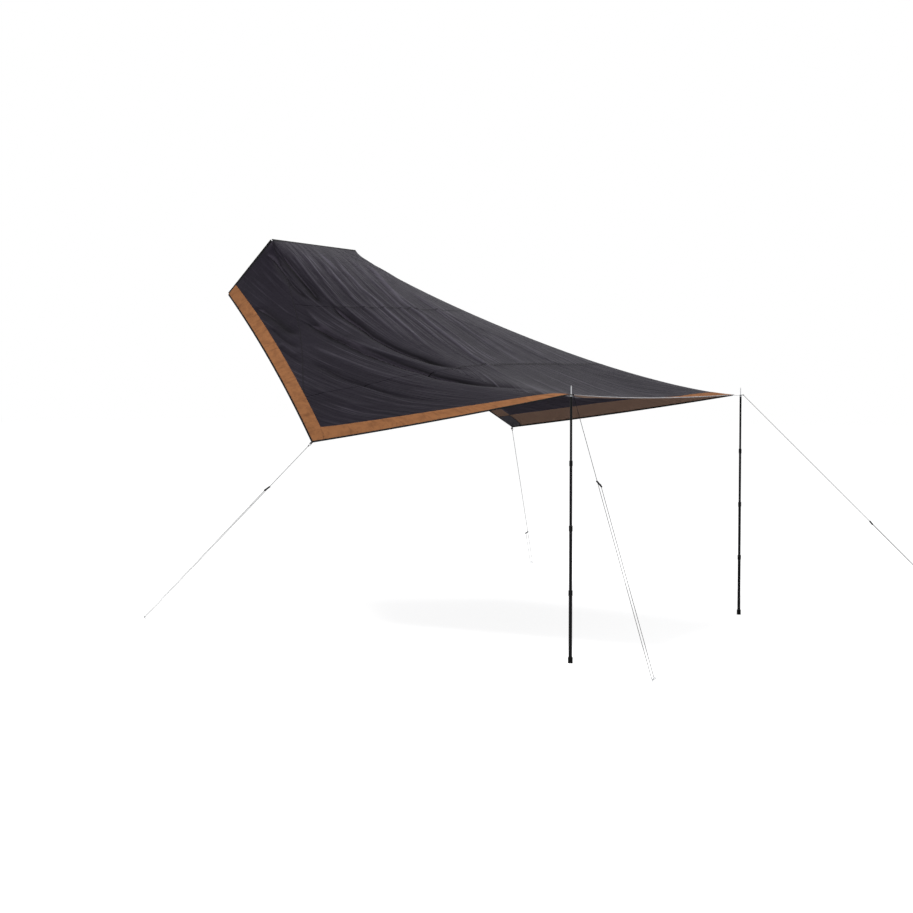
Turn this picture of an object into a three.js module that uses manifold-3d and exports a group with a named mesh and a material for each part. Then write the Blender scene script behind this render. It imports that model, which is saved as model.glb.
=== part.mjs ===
// Sun canopy of a roof tent, in millimetres, +Z up.
// The origin is the middle of the front edge bead. +X runs from the tent to the poles, +Y to the far side.

import * as THREE from 'three';
import { mergeVertices } from 'three/addons/utils/BufferGeometryUtils.js';
import Module from 'manifold-3d';

const wasm = await Module();
wasm.setup();

const { clamp, degToRad, lerp, smoothstep } = THREE.MathUtils;
const vec = (x, y, z) => new THREE.Vector3(x, y, z);
const up = vec(0, 0, 1);

// Rail on the tent: a straight front run and a raked cheek at each end
const railHalf = 660;
const cheekRun = 591;
const cheekDrop = 508;

// Wing corners
const wingRun = 1363;
const wingHalf = 1628;
const nearWingDrop = 1952;
const farWingDrop = 1875;

// Poles
const nearPoleRun = 3960;
const farPoleRun = 4015;
const poleHalf = 1548;
const poleTopDrop = 1554;
const poleHeight = 2100;

// Front corners of the fabric, seen from the pole axis
const cornerReach = 62;
const cornerRise = 17;
const cornerTurn = 44;

// Slack of the four edges
const frontDraw = 120;
const frontSag = 30;
const lowerSag = 12;
const sideBow = 38;

// Tension of the sheet across against along, and how much more of it the near half carries
const tensionShare = 2;
const tensionSkewShare = 0.5;
const filmColumns = 96;
const filmRows = 48;
const filmSweeps = 320;
const relaxShare = 1.9;

// Fabric, seams and bands
const clothThick = 2.4;
const seamGap = 0.4;
const seatGap = 0.3;
const sideBandWidth = 120;
const lowerBandWidth = 145;
const firstSeamShare = 0.27;
const secondSeamShare = 0.76;
const seamBowShare = 1.71;
const seamBowFade = 3;
const gussetCurveShare = 1.35;
const gussetTip = 4;

// Edge tape and front hem
const bindingWidth = 12;
const bindingThick = 4;
const hemWidth = 8;
const tapeSetback = 20;

// Beaded edge
const beadRadius = 4;
const beadSides = 6;
const kederFlap = 18;
const beadSetback = 6;

// Panel meshes
const panelColumns = 40;
const columnCrowdShare = 1.4;
const twistShare = 0.35;
const gussetColumns = 6;
const bandColumns = 2;
const rearRows = 6;
const middleRows = 9;
const frontRows = 7;
const bandRows = 2;

// Folds: routes hold [along, across] shares, a valley sinks and a ridge rises
const valleyDepth = 26;
const ridgeRise = 15;
const valleyWidth = 62;
const ridgeWidth = 54;
const foldFadeShare = 0.08;
const foldEndShare = 0.97;
const valleyShares = [
  [[0.01, -0.98], [0.11, -1.07], [0.26, -1.14], [0.45, -1.12], [0.62, -1.12], [0.72, -1.06], [0.85, -0.98]],
  [[0.3, -1.54], [0.49, -1.39], [0.64, -1.29], [0.8, -1.19], [0.91, -1.04], [0.97, -0.99]],
  [[0.56, -1.74], [0.7, -1.64], [0.81, -1.53], [0.94, -1.36]],
  [[0.01, 0.98], [0.11, 1.07], [0.26, 1.14], [0.45, 1.12], [0.62, 1.12], [0.72, 1.06], [0.85, 0.98]],
  [[0.3, 1.54], [0.49, 1.39], [0.64, 1.29], [0.8, 1.19], [0.91, 1.04], [0.97, 0.99]],
];
const ridgeShares = [
  [[0.02, -0.28], [0.21, -0.67], [0.34, -0.82], [0.47, -0.89], [0.64, -0.99]],
  [[0.02, 0.44], [0.185, -0.07], [0.31, -0.32], [0.49, -0.59], [0.67, -0.77], [0.78, -0.85]],
  [[0.05, 0.64], [0.25, -0.02], [0.43, -0.41], [0.67, -0.67], [0.83, -0.83], [0.97, -0.95]],
];

// Belly that hangs just behind the front edge, between two across places
const bellyDepth = 44;
const bellyReach = 340;
const bellyEndShares = [-1.02, 0.98];
const bellyFadeShares = [0.35, 0.75];

// Corner patches and webbing
const patchThick = 2;
const patchMargin = 3;
const webThick = 2;
const poleTabWidth = 25;
const poleTabEnd = 118;
const poleTabBend = 34;
const probeCount = 16;
const probeReach = 100;
const wingTabWidth = 15;
const wingTabLeaf = 40;
const wingTabClear = 3;
const wingLoopBore = 5;

// Eyelets
const eyeletBore = 6;
const eyeletWall = 1;
const eyeletFlange = 11;
const eyeletPlate = 1;

// Pole tubes, from the top down
const tubeRadii = [9.5, 11, 12.5, 14];
const tubeWall = 0.9;
const tubeLap = 70;
const collarDepths = [524, 1036, 1546];
const collarHeight = 43;
const collarOver = 2.6;
const collarStep = 12;
const collarLip = 1.2;
const fluteDepth = 0.7;
const fluteMargin = 6;
const plugStem = 20;
const plugHead = 16;
const roundSides = 20;
const gripSides = 20;
const slimSides = 12;
const domeSteps = 5;

// Pole spike and foot
const spikeRadius = 4;
const spikeRise = 86;
const spikeTaper = 8;
const spikeTip = 1.5;
const spikeRoot = 25;
const domeRadius = 9.2;
const footRadius = 19.5;
const footHeight = 48;
const footBase = 10;
const footChamfer = 3;

// Guy ropes
const ropeRadius = 2;
const ropeSides = 8;
const eyeRadius = 8.6;
const wingEyeLong = 9;
const wingEyeWide = 13;
const knotReach = 17;
const knotRadius = 4.5;
const knotStretchShare = 1.5;
const turnSteps = 8;
const loopSteps = 10;

// Line adjusters
const sliderLength = 68;
const sliderWidth = 14;
const sliderThick = 6;
const sliderPitch = 44;
const sliderSlant = 35;
const sliderBore = 2.7;

// Pegs
const pegRadius = 3.5;
const pegBuried = 175;
const pegProud = 42;
const pegPoint = 18;
const pegPointRadius = 3;
const pegLean = 30;
const pegHookRadius = 9;
const pegHookTurn = 200;
const pegHookSteps = 8;
const pegSides = 8;
const turnHeight = 22;
const joinOverlap = 2;

// Where each rope is pegged on the ground, and where its adjuster sits along the line
const guyPlans = [
  { name: 'near_pole', end: 'near', pegRun: 4830, pegSide: -1845, sliderShare: 0.32 },
  { name: 'far_pole', end: 'far', pegRun: 5796, pegSide: 2679, sliderShare: 0.58 },
  { name: 'near_wing', end: 'near', pegRun: -427, pegSide: -1957, sliderShare: 0.23 },
  { name: 'far_wing', end: 'far', pegRun: 213, pegSide: 3853, sliderShare: 0.74 },
];

const finish = (color, roughness, metalness = 0) =>
  new THREE.MeshStandardMaterial({ color, roughness, metalness });
const materials = {
  ripstop: finish(0x2d2b31, 0.72),
  tan: finish(0x96633a, 0.8),
  tape: finish(0x121214, 0.85),
  hem: finish(0x8f8d90, 0.6),
  webbing: finish(0x19191b, 0.9),
  keder: finish(0x1d1d20, 0.6),
  aluminium: finish(0x141416, 0.38, 0.7),
  plastic: finish(0x0e0e10, 0.55),
  rubber: finish(0x101011, 0.85),
  steel: finish(0xb4b6ba, 0.3, 1),
  rope: finish(0x2a2b2d, 0.8),
  slider: finish(0x1c1c1f, 0.45, 0.6),
};

const canopy = new THREE.Group();

// Adds one named mesh to a group
function place(name, geometry, material, parent = canopy) {
  const mesh = new THREE.Mesh(geometry, material);
  mesh.name = name;
  parent.add(mesh);
  return mesh;
}

// Closed mesh as a solid for joins and cuts
function solid(geometry) {
  const bare = geometry.clone();
  bare.deleteAttribute('normal');
  bare.deleteAttribute('uv');
  const merged = mergeVertices(bare, 1e-4);
  return new wasm.Manifold(new wasm.Mesh({
    numProp: 3,
    vertProperties: new Float32Array(merged.getAttribute('position').array),
    triVerts: new Uint32Array(merged.index.array),
  }));
}

// Solid back to a three.js geometry
function shell(body) {
  const mesh = body.getMesh();
  const geometry = new THREE.BufferGeometry();
  geometry.setAttribute('position', new THREE.BufferAttribute(mesh.vertProperties, 3));
  geometry.setIndex(new THREE.BufferAttribute(mesh.triVerts, 1));
  geometry.computeVertexNormals();
  return geometry;
}

const joined = (geometries) => shell(geometries.map(solid).reduce((whole, next) => whole.add(next)));

// Geometry from vertices and triangle indices
function meshOf(points, triangles) {
  const geometry = new THREE.BufferGeometry().setFromPoints(points);
  geometry.setIndex(triangles);
  geometry.computeVertexNormals();
  return geometry;
}

// Profile turned about the Z axis, given as [radius, height] pairs
function turned(profile, sides) {
  const points = profile.map(([radius, height]) => new THREE.Vector2(radius, height));
  return new THREE.LatheGeometry(points, sides).rotateX(Math.PI / 2);
}

// Open route through given points, sampled exactly at them
class Route extends THREE.Curve {
  constructor(points) {
    super();
    this.points = points;
  }

  getUtoTmapping(share) {
    return share;
  }

  getPoint(share, target = new THREE.Vector3()) {
    const last = this.points.length - 1;
    const place = clamp(share, 0, 1) * last;
    const start = Math.min(Math.floor(place), last - 1);
    return target.lerpVectors(this.points[start], this.points[start + 1], place - start);
  }
}

// Round tube through the points
function tube(points, radius, sides) {
  const ring = new THREE.Shape().absarc(0, 0, radius, 0, 2 * Math.PI);
  return new THREE.ExtrudeGeometry(ring, {
    extrudePath: new Route(points),
    steps: points.length - 1,
    curveSegments: sides / 2,
    bevelEnabled: false,
  });
}

// Skin through closed sections, capped at both ends, with the outline going anticlockwise about the travel
function loft(sections, outline) {
  const count = sections[0].length;
  const last = (sections.length - 1) * count;
  const triangles = [];
  for (let i = 0; i < sections.length - 1; i++) {
    for (let k = 0; k < count; k++) {
      const a = i * count + k;
      const b = i * count + (k + 1) % count;
      triangles.push(a, b, a + count, b, b + count, a + count);
    }
  }
  for (const [a, b, c] of THREE.ShapeUtils.triangulateShape(outline, [])) {
    triangles.push(a, c, b, last + a, last + b, last + c);
  }
  return meshOf(sections.flat(), triangles);
}

const square = [[0, 0], [1, 0], [1, 1], [0, 1]].map(([x, y]) => new THREE.Vector2(x, y));

// Fabric sheet

const railCorners = [
  vec(-cheekRun, -railHalf, -cheekDrop),
  vec(0, -railHalf, 0),
  vec(0, railHalf, 0),
  vec(-cheekRun, railHalf, -cheekDrop),
];
const poleTops = {
  near: vec(nearPoleRun, -poleHalf, -poleTopDrop),
  far: vec(farPoleRun, poleHalf, -poleTopDrop),
};
const inwardAt = { near: degToRad(180 - cornerTurn), far: degToRad(180 + cornerTurn) };

function frontCorner(end) {
  const turn = inwardAt[end];
  const inward = vec(cornerReach * Math.cos(turn), cornerReach * Math.sin(turn), cornerRise);
  return poleTops[end].clone().add(inward);
}

const frontCorners = [
  vec(wingRun, -wingHalf, -nearWingDrop),
  frontCorner('near'),
  frontCorner('far'),
  vec(wingRun, wingHalf, -farWingDrop),
];
const wingCorners = { near: frontCorners[0], far: frontCorners[3] };

// Across runs from -2 at the near free edge, through the corners at -1 and 1, to 2 at the far one
const cornerPlaces = [-2, -1, 1, 2];

function betweenCorners(corners, across) {
  const run = cornerPlaces.findIndex((value, i) => i === 2 || across < cornerPlaces[i + 1]);
  const share = (across - cornerPlaces[run]) / (cornerPlaces[run + 1] - cornerPlaces[run]);
  return corners[run].clone().lerp(corners[run + 1], share);
}

function frontEdge(across) {
  const point = betweenCorners(frontCorners, across);
  const wing = Math.abs(across) - 1;
  if (wing >= 0) {
    return point.add(vec(0, 0, -4 * wing * (1 - wing) * lowerSag));
  }
  const bow = 1 - across * across;
  return point.add(vec(-bow * frontDraw, 0, -bow * frontSag));
}

function sideEdge(side, along) {
  const [start, end, rail, front] = side < 0 ? [0, 0, 1, 1] : [3, 3, 2, 2];
  const line = frontCorners[end].clone().sub(railCorners[start]);
  const middle = railCorners[start].clone().add(frontCorners[end]).divideScalar(2);
  const inward = railCorners[rail].clone().add(frontCorners[front]).divideScalar(2).sub(middle);
  inward.addScaledVector(line, -inward.dot(line) / line.lengthSq()).normalize();
  const bow = 4 * along * (1 - along) * sideBow;
  return railCorners[start].clone().addScaledVector(line, along).addScaledVector(inward, bow);
}

function startingFilm() {
  const grid = [];
  for (let i = 0; i <= filmColumns; i++) {
    const across = 4 * i / filmColumns - 2;
    grid.push([]);
    for (let j = 0; j <= filmRows; j++) {
      const along = j / filmRows;
      const free = i === 0 || i === filmColumns;
      const point = betweenCorners(railCorners, across).lerp(frontEdge(across), along);
      grid[i].push(free ? sideEdge(Math.sign(across), along) : point);
    }
  }
  return grid;
}

// Every inner node settles at the weighted mean of its four neighbours, as in a stretched net
function stretchFilm() {
  const grid = startingFilm();
  const skew = (edge) => 1 - tensionSkewShare * (2 * edge / filmColumns - 1);
  const pull = (edge) => tensionShare * (filmColumns / 4) ** 2 * skew(edge);
  const alongPull = filmRows ** 2;
  for (let sweep = 0; sweep < filmSweeps; sweep++) {
    for (let i = 1; i < filmColumns; i++) {
      const left = pull(i - 0.5);
      const right = pull(i + 0.5);
      const total = left + right + 2 * alongPull;
      for (let j = 1; j < filmRows; j++) {
        for (const axis of ['x', 'y', 'z']) {
          const mean = (left * grid[i - 1][j][axis] + right * grid[i + 1][j][axis]
            + alongPull * (grid[i][j - 1][axis] + grid[i][j + 1][axis])) / total;
          grid[i][j][axis] += relaxShare * (mean - grid[i][j][axis]);
        }
      }
    }
  }
  return grid;
}

const filmGrid = stretchFilm();

// Point of the smooth sheet, along from 0 at the rail to 1 at the front
function film(across, along) {
  const x = clamp((across + 2) / 4, 0, 1) * filmColumns;
  const y = clamp(along, 0, 1) * filmRows;
  const i = Math.min(Math.floor(x), filmColumns - 1);
  const j = Math.min(Math.floor(y), filmRows - 1);
  const start = filmGrid[i][j].clone().lerp(filmGrid[i][j + 1], y - j);
  return start.lerp(filmGrid[i + 1][j].clone().lerp(filmGrid[i + 1][j + 1], y - j), x - i);
}

// Slopes of the smooth sheet and its outward normal
function slopes(across, along) {
  const acrossStep = 4 / filmColumns;
  const alongStep = 1 / filmRows;
  const acrossSpan = clamp(across + acrossStep, -2, 2) - clamp(across - acrossStep, -2, 2);
  const alongSpan = clamp(along + alongStep, 0, 1) - clamp(along - alongStep, 0, 1);
  const sideways = film(across + acrossStep, along).sub(film(across - acrossStep, along));
  sideways.divideScalar(acrossSpan);
  const forward = film(across, along + alongStep).sub(film(across, along - alongStep));
  forward.divideScalar(alongSpan);
  return { sideways, forward, normal: forward.clone().cross(sideways).normalize() };
}

// Across place of a fold's crest at a given row, and its drift
function foldAt(route, along) {
  const run = clamp(route.findIndex(([row]) => row > along) - 1, 0, route.length - 2);
  const [startRow, startAcross] = route[run];
  const [endRow, endAcross] = route[run + 1];
  const drift = (endAcross - startAcross) / (endRow - startRow);
  return { crest: startAcross + drift * (along - startRow), drift };
}

// Height that one fold adds at a point of the sheet
function foldHeight(route, height, width, across, along, slope) {
  const first = route[0][0];
  const last = route[route.length - 1][0];
  if (along < first || along > last) {
    return 0;
  }
  const { crest, drift } = foldAt(route, along);
  const heading = slope.forward.clone().addScaledVector(slope.sideways, drift);
  const distance = (across - crest) * slope.sideways.clone().cross(heading).length() / heading.length();
  const narrowing = 1 - smoothstep(along, secondSeamShare, 1) / 2;
  const rising = smoothstep(along, first, first + foldFadeShare);
  const fading = 1 - smoothstep(along, Math.min(last, foldEndShare) - 2 * foldFadeShare, last);
  return height * rising * fading * narrowing * Math.exp(-((distance / (width * narrowing)) ** 2));
}

// Depth of the belly at a point of the sheet
function bellyAt(across, along, slope) {
  const behind = (1 - along) * slope.forward.length() / bellyReach;
  const [first, last] = bellyEndShares;
  const [rising, falling] = bellyFadeShares;
  const share = smoothstep(across, first, first + rising) * (1 - smoothstep(across, last - falling, last));
  return bellyDepth * share * behind * Math.exp(1 - behind);
}

// Point of the folded sheet with its normal
function sheet(across, along) {
  const slope = slopes(across, along);
  let height = -bellyAt(across, along, slope);
  for (const route of valleyShares) {
    height += foldHeight(route, -valleyDepth, valleyWidth, across, along, slope);
  }
  for (const route of ridgeShares) {
    height += foldHeight(route, ridgeRise, ridgeWidth, across, along, slope);
  }
  return { point: film(across, along).addScaledVector(slope.normal, height), normal: slope.normal };
}

// Seams of the sheet

const distanceTo = (run, point) => {
  const nearest = vec(0, 0, 0);
  let least = Infinity;
  for (let i = 0; i < run.length - 1; i++) {
    new THREE.Line3(run[i], run[i + 1]).closestPointToPoint(point, true, nearest);
    least = Math.min(least, nearest.distanceTo(point));
  }
  return least;
};

// Share of a path at which it lies a given distance away from an edge, starting on the edge
function shareAtDistance(path, run, distance) {
  let near = 0;
  let far = 1;
  while (far - near > 1e-6) {
    const middle = (near + far) / 2;
    if (distanceTo(run, path(middle)) < distance) {
      near = middle;
    } else {
      far = middle;
    }
  }
  return near;
}

const counted = (count) => Array.from({ length: count }, (unused, i) => i);
const spread = (start, end, count) =>
  Array.from({ length: count + 1 }, (unused, i) => lerp(start, end, i / count));
const sideRuns = {
  '-1': spread(0, 1, filmRows).map((along) => sideEdge(-1, along)),
  '1': spread(0, 1, filmRows).map((along) => sideEdge(1, along)),
};
const frontRun = spread(-2, 2, 2 * filmColumns).map(frontEdge);

// Inner edge of the side band, as across places down the rows
const bandInners = {};
for (const side of [-1, 1]) {
  bandInners[side] = spread(0, 1, filmRows).map((along) => {
    const path = (share) => film(side * (2 - share), along);
    return 2 - shareAtDistance(path, sideRuns[side], sideBandWidth);
  });
}

function bandInner(side, along) {
  const place = clamp(along, 0, 1) * filmRows;
  const row = Math.min(Math.floor(place), filmRows - 1);
  return side * lerp(bandInners[side][row], bandInners[side][row + 1], place - row);
}

// Gusset seam, from the rail corner down to its tip on the side band
function gussetSeam(side, along) {
  const tipPlace = bandInner(side, secondSeamShare);
  const tip = Math.abs(tipPlace) - gussetTip / slopes(tipPlace, secondSeamShare).sideways.length();
  const left = 1 - clamp(along / secondSeamShare, 0, 1);
  return side * (1 + (tip - 1) * (1 - left ** gussetCurveShare));
}

const crossSeam = (row, share) => row + seamBowShare * row * (1 - row) ** seamBowFade * (1 - share * share);

// Shares of the half width at which the columns of the centre panels stand
function columnShares() {
  const shares = spread(0, 1, panelColumns).map((share) => 2 * share ** columnCrowdShare - 1);
  for (const side of [-1, 1]) {
    const corner = 1 / bandInner(side, 1);
    const misses = shares.map((share) => Math.abs(share - corner));
    const closest = misses.indexOf(Math.min(...misses));
    shares[closest] = corner;
    shares.push(lerp(corner, shares[closest + side], twistShare));
  }
  return shares.sort((a, b) => a - b);
}

// A column follows an across path, a row count divides each stretch of it
const rowOnPath = (path) => shareAtDistance((share) => film(path(share), share), railCorners, kederFlap);
const rowBeforeFront = (path) =>
  1 - shareAtDistance((share) => film(path(1 - share), 1 - share), frontRun, lowerBandWidth);

function column(path, stretches) {
  const rows = stretches.flatMap(([start, end, count], i) => spread(start, end, count).slice(i ? 1 : 0));
  return rows.map((along) => sheet(path(along), along));
}

const shares = columnShares();
const upper = (share) => (along) => Math.abs(share) * gussetSeam(share < 0 ? -1 : 1, along);
const lower = (share) => (along) => Math.abs(share) * bandInner(share < 0 ? -1 : 1, along);
const cornerColumns = {
  near: shares.indexOf(1 / bandInner(-1, 1)),
  far: shares.indexOf(1 / bandInner(1, 1)),
};

const rearGrid = shares.map((share) => {
  const path = upper(share);
  return column(path, [[rowOnPath(path), crossSeam(firstSeamShare, share), rearRows]]);
});
const middleGrid = shares.map((share) => (
  column(upper(share), [[crossSeam(firstSeamShare, share), crossSeam(secondSeamShare, share), middleRows]])
));
const frontGrid = shares.map((share) => {
  const path = lower(share);
  return column(path, [[crossSeam(secondSeamShare, share), rowBeforeFront(path), frontRows]]);
});
const skirtGrid = shares.map((share) => {
  const path = lower(share);
  return column(path, [[rowBeforeFront(path), 1, bandRows]]);
});

// Columns of a wing gusset, from the side band to the gusset seam
function gussetGrid(side) {
  return spread(0, 1, gussetColumns).map((share) => {
    const path = (along) => lerp(bandInner(side, along), gussetSeam(side, along), share);
    return column(path, [
      [rowOnPath(path), firstSeamShare, rearRows],
      [firstSeamShare, secondSeamShare, middleRows],
    ]);
  });
}

// Columns of a side band, from the free edge to the inner edge
function sideBandGrid(side) {
  const skirtRow = rowBeforeFront((along) => bandInner(side, along));
  return spread(0, 1, bandColumns).map((share) => {
    const path = (along) => lerp(2 * side, bandInner(side, along), share);
    return column(path, [
      [rowOnPath(path), firstSeamShare, rearRows],
      [firstSeamShare, secondSeamShare, middleRows],
      [secondSeamShare, skirtRow, frontRows],
      [skirtRow, 1, bandRows],
    ]);
  });
}

// Moves a border node inward along its own grid line, so that the border itself retreats by the distance
function retreat(node, inner, before, after, distance) {
  const inward = inner.point.clone().sub(node.point).normalize();
  const edge = after.point.clone().sub(before.point).normalize();
  const lean = inward.clone().cross(edge).length();
  return { point: node.point.clone().addScaledVector(inward, distance / lean), normal: node.normal };
}

// Draws all four borders of a panel back
function trimmed(grid, distance) {
  const lastRow = grid[0].length - 1;
  const lastColumn = grid.length - 1;
  const rowsDone = grid.map((nodes, c) => nodes.map((node, r) => {
    if (r > 0 && r < lastRow) {
      return node;
    }
    const inner = nodes[r === 0 ? 1 : r - 1];
    return retreat(node, inner, grid[Math.max(c - 1, 0)][r], grid[Math.min(c + 1, lastColumn)][r], distance);
  }));
  return rowsDone.map((nodes, c) => nodes.map((node, r) => {
    if (c > 0 && c < lastColumn) {
      return node;
    }
    const inner = rowsDone[c === 0 ? 1 : c - 1][r];
    return retreat(node, inner, nodes[Math.max(r - 1, 0)], nodes[Math.min(r + 1, lastRow)], distance);
  }));
}

// Closed slab over a grid of nodes, between two heights along the normals
function slab(grid, low, high) {
  const columns = grid.length;
  const rows = grid[0].length;
  const lifted = (node, height) => node.point.clone().addScaledVector(node.normal, height);
  const raised = (height) => grid.flat().map((node) => lifted(node, height));
  const points = [...raised(high), ...raised(low)];
  const under = columns * rows;
  const at = (c, r) => c * rows + r;
  const triangles = [];
  for (let c = 0; c < columns - 1; c++) {
    for (let r = 0; r < rows - 1; r++) {
      const [a, b, d, e] = [at(c, r), at(c, r + 1), at(c + 1, r + 1), at(c + 1, r)];
      triangles.push(a, b, d, a, d, e, a + under, d + under, b + under, a + under, e + under, d + under);
    }
  }
  const border = [
    ...counted(rows - 1).map((r) => at(0, r)),
    ...counted(columns - 1).map((c) => at(c, rows - 1)),
    ...counted(rows - 1).map((r) => at(columns - 1, rows - 1 - r)),
    ...counted(columns - 1).map((c) => at(columns - 1 - c, 0)),
  ];
  border.forEach((start, i) => {
    const end = border[(i + 1) % border.length];
    triangles.push(start, start + under, end + under, start, end + under, end);
  });
  return meshOf(points, triangles);
}

const clothPanel = (grid) => slab(trimmed(grid, seamGap / 2), -clothThick / 2, clothThick / 2);

// Corner tape along an open line of edge nodes, with a rectangular section beyond the edge
function edgeTape(nodes, width, turn) {
  const outwards = nodes.slice(1).map((node, i) => (
    node.point.clone().sub(nodes[i].point).cross(node.normal).normalize().multiplyScalar(turn)
  ));
  const sections = nodes.map((node, i) => {
    const before = outwards[Math.max(i - 1, 0)];
    const after = outwards[Math.min(i, outwards.length - 1)];
    const mitre = before.clone().add(after).divideScalar(1 + before.dot(after));
    const corner = (reach, height) =>
      node.point.clone().addScaledVector(mitre, reach).addScaledVector(node.normal, height);
    const near = seamGap / 2;
    const half = bindingThick / 2;
    const far = near + width;
    const ring = [corner(near, half), corner(far, half), corner(far, -half), corner(near, -half)];
    return turn > 0 ? ring : ring.reverse();
  });
  return loft(sections, square);
}

// Last node of a line drawn back along its own segment
function drawnBack(nodes, distance) {
  const [before, end] = nodes.slice(-2);
  const share = distance / before.point.distanceTo(end.point);
  const point = end.point.clone().lerp(before.point, share);
  const normal = end.normal.clone().lerp(before.normal, share).normalize();
  return [...nodes.slice(0, -1), { point, normal }];
}

const lastOf = (list) => list[list.length - 1];
const bottomRow = (grid) => grid.map(lastOf);
const topRow = (grid) => grid.map((nodes) => nodes[0]);

// Free side edge and lower edge of one wing, as one line of nodes
function wingEdge(side, bandGrid, lowerGrid) {
  const ordered = side < 0 ? [bandGrid, lowerGrid] : [bandGrid, [...lowerGrid].reverse()];
  const lower = ordered.flatMap((grid) => bottomRow(grid).slice(1));
  return drawnBack([...ordered[0][0], ...lower], tapeSetback);
}

// Beaded edge strip: a round bead on the rail line with a flap out to the fabric
function keder(nodes, limits) {
  const half = clothThick / 2;
  const open = Math.asin(half / beadRadius);
  const outline = spread(open, 2 * Math.PI - open, beadSides - 1).map((angle) => (
    new THREE.Vector2(beadRadius * Math.cos(angle), beadRadius * Math.sin(angle))
  ));
  outline.push(new THREE.Vector2(kederFlap, -half), new THREE.Vector2(kederFlap, half));
  const rail = new THREE.Line3(limits[0], limits[1]);
  const sections = nodes.map((node) => {
    const centre = rail.closestPointToPoint(node.point, true, vec(0, 0, 0));
    const flap = node.point.clone().sub(centre);
    const reach = flap.length() - seamGap / 2;
    const outward = flap.normalize();
    const height = node.normal.clone().addScaledVector(outward, -node.normal.dot(outward)).normalize();
    return outline.map((corner) => {
      const x = corner.x === kederFlap ? reach : corner.x;
      return centre.clone().addScaledVector(outward, x).addScaledVector(height, corner.y);
    });
  });
  return loft(sections, outline);
}

function buildFabric() {
  place('rear_panel', clothPanel(rearGrid), materials.ripstop);
  place('middle_panel', clothPanel(middleGrid), materials.ripstop);
  place('front_panel', clothPanel(frontGrid), materials.ripstop);
  const { near, far } = cornerColumns;
  const skirts = {
    near: skirtGrid.slice(0, near + 1),
    front: skirtGrid.slice(near, far + 1),
    far: skirtGrid.slice(far),
  };
  place('near_lower_band', clothPanel(skirts.near), materials.tan);
  place('front_band', clothPanel(skirts.front), materials.tan);
  place('far_lower_band', clothPanel(skirts.far), materials.tan);
  const hem = drawnBack(drawnBack(bottomRow(skirts.front), tapeSetback).reverse(), tapeSetback).reverse();
  place('front_hem', edgeTape(hem, hemWidth, 1), materials.hem);
  for (const [end, side] of [['near', -1], ['far', 1]]) {
    const outerFirst = sideBandGrid(side);
    const ordered = side < 0 ? outerFirst : [...outerFirst].reverse();
    place(`${end}_side_band`, clothPanel(ordered), materials.tan);
    const gore = gussetGrid(side);
    place(`${end}_gusset`, clothPanel(side < 0 ? gore : [...gore].reverse()), materials.ripstop);
    const freeEdge = wingEdge(side, outerFirst, skirts[end]);
    place(`${end}_edge_binding`, edgeTape(freeEdge, bindingWidth, -side), materials.tape);
    const patchGrid = ordered.map((nodes) => nodes.slice(-bandRows - 1));
    const patchTop = -clothThick / 2 - seatGap;
    const patch = slab(trimmed(patchGrid, patchMargin), patchTop - patchThick, patchTop);
    place(`${end}_wing_patch`, patch, materials.webbing);
    buildSideKeder(end, side, outerFirst, gore);
  }
  const frontLimits = [-1, 1].map((side) => vec(0, side * (railHalf - beadSetback), 0));
  place('front_keder', keder(inset(topRow(rearGrid)).reverse(), frontLimits), materials.keder);
}

// Line of nodes with both end nodes drawn in by half a seam
function inset(nodes) {
  return drawnBack(drawnBack(nodes, seamGap / 2).reverse(), seamGap / 2).reverse();
}

function buildSideKeder(end, side, bandGrid, gore) {
  const nodes = inset([...topRow(bandGrid), ...topRow(gore).slice(1)]);
  const [low, high] = side < 0 ? [railCorners[0], railCorners[1]] : [railCorners[3], railCorners[2]];
  const top = high.clone().add(low.clone().sub(high).setLength(beadSetback));
  const ordered = side < 0 ? nodes.reverse() : nodes;
  place(`${end}_side_keder`, keder(ordered, [low, top]), materials.keder);
}

// Poles

const tubeTops = [0, ...collarDepths.map((depth) => depth - collarStep)];
const tubeEnds = [...tubeTops.slice(1).map((depth) => depth + tubeLap), poleHeight - footBase - seatGap];

function spikeProfile() {
  const root = tubeRadii[0] - tubeWall - seatGap;
  const start = Math.asin(seatGap / domeRadius);
  const end = Math.acos(spikeRadius / domeRadius);
  const onDome = (angle) => [domeRadius * Math.cos(angle), domeRadius * Math.sin(angle)];
  const dome = spread(start, end, domeSteps).map(onDome);
  const pin = [[spikeRadius, spikeRise - spikeTaper], [spikeTip, spikeRise], [0, spikeRise]];
  return [[0, -spikeRoot], [root, -spikeRoot], [root, seatGap], ...dome, ...pin];
}

function tubeProfile(i) {
  const outer = tubeRadii[i];
  const inner = outer - tubeWall;
  const [low, high] = [-tubeEnds[i], -tubeTops[i]];
  return [[outer, low], [outer, high], [inner, high], [inner, low], [outer, low]];
}

// Collar clamped on the lower tube and closing on the upper one, with a fluted grip
function collarGeometry(i) {
  const radius = tubeRadii[i + 1] + collarOver;
  const wide = tubeRadii[i + 1] + seatGap;
  const narrow = tubeRadii[i] + seatGap;
  const low = -collarDepths[i] - collarHeight / 2;
  const high = low + collarHeight;
  const step = seatGap - tubeTops[i + 1];
  const profile = [
    [wide, low], [radius - collarLip, low], [radius, low + collarLip],
    [radius, low + fluteMargin], [radius, high - fluteMargin],
    [radius, high - collarLip], [radius - collarLip, high],
    [narrow, high], [narrow, step], [wide, step], [wide, low],
  ];
  const geometry = turned(profile, gripSides);
  const position = geometry.getAttribute('position');
  const fluted = (radius - fluteDepth) / radius;
  for (let side = 1; side < gripSides; side += 2) {
    for (const corner of [3, 4]) {
      const vertex = side * profile.length + corner;
      position.setX(vertex, position.getX(vertex) * fluted);
      position.setY(vertex, position.getY(vertex) * fluted);
    }
  }
  return geometry;
}

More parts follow.
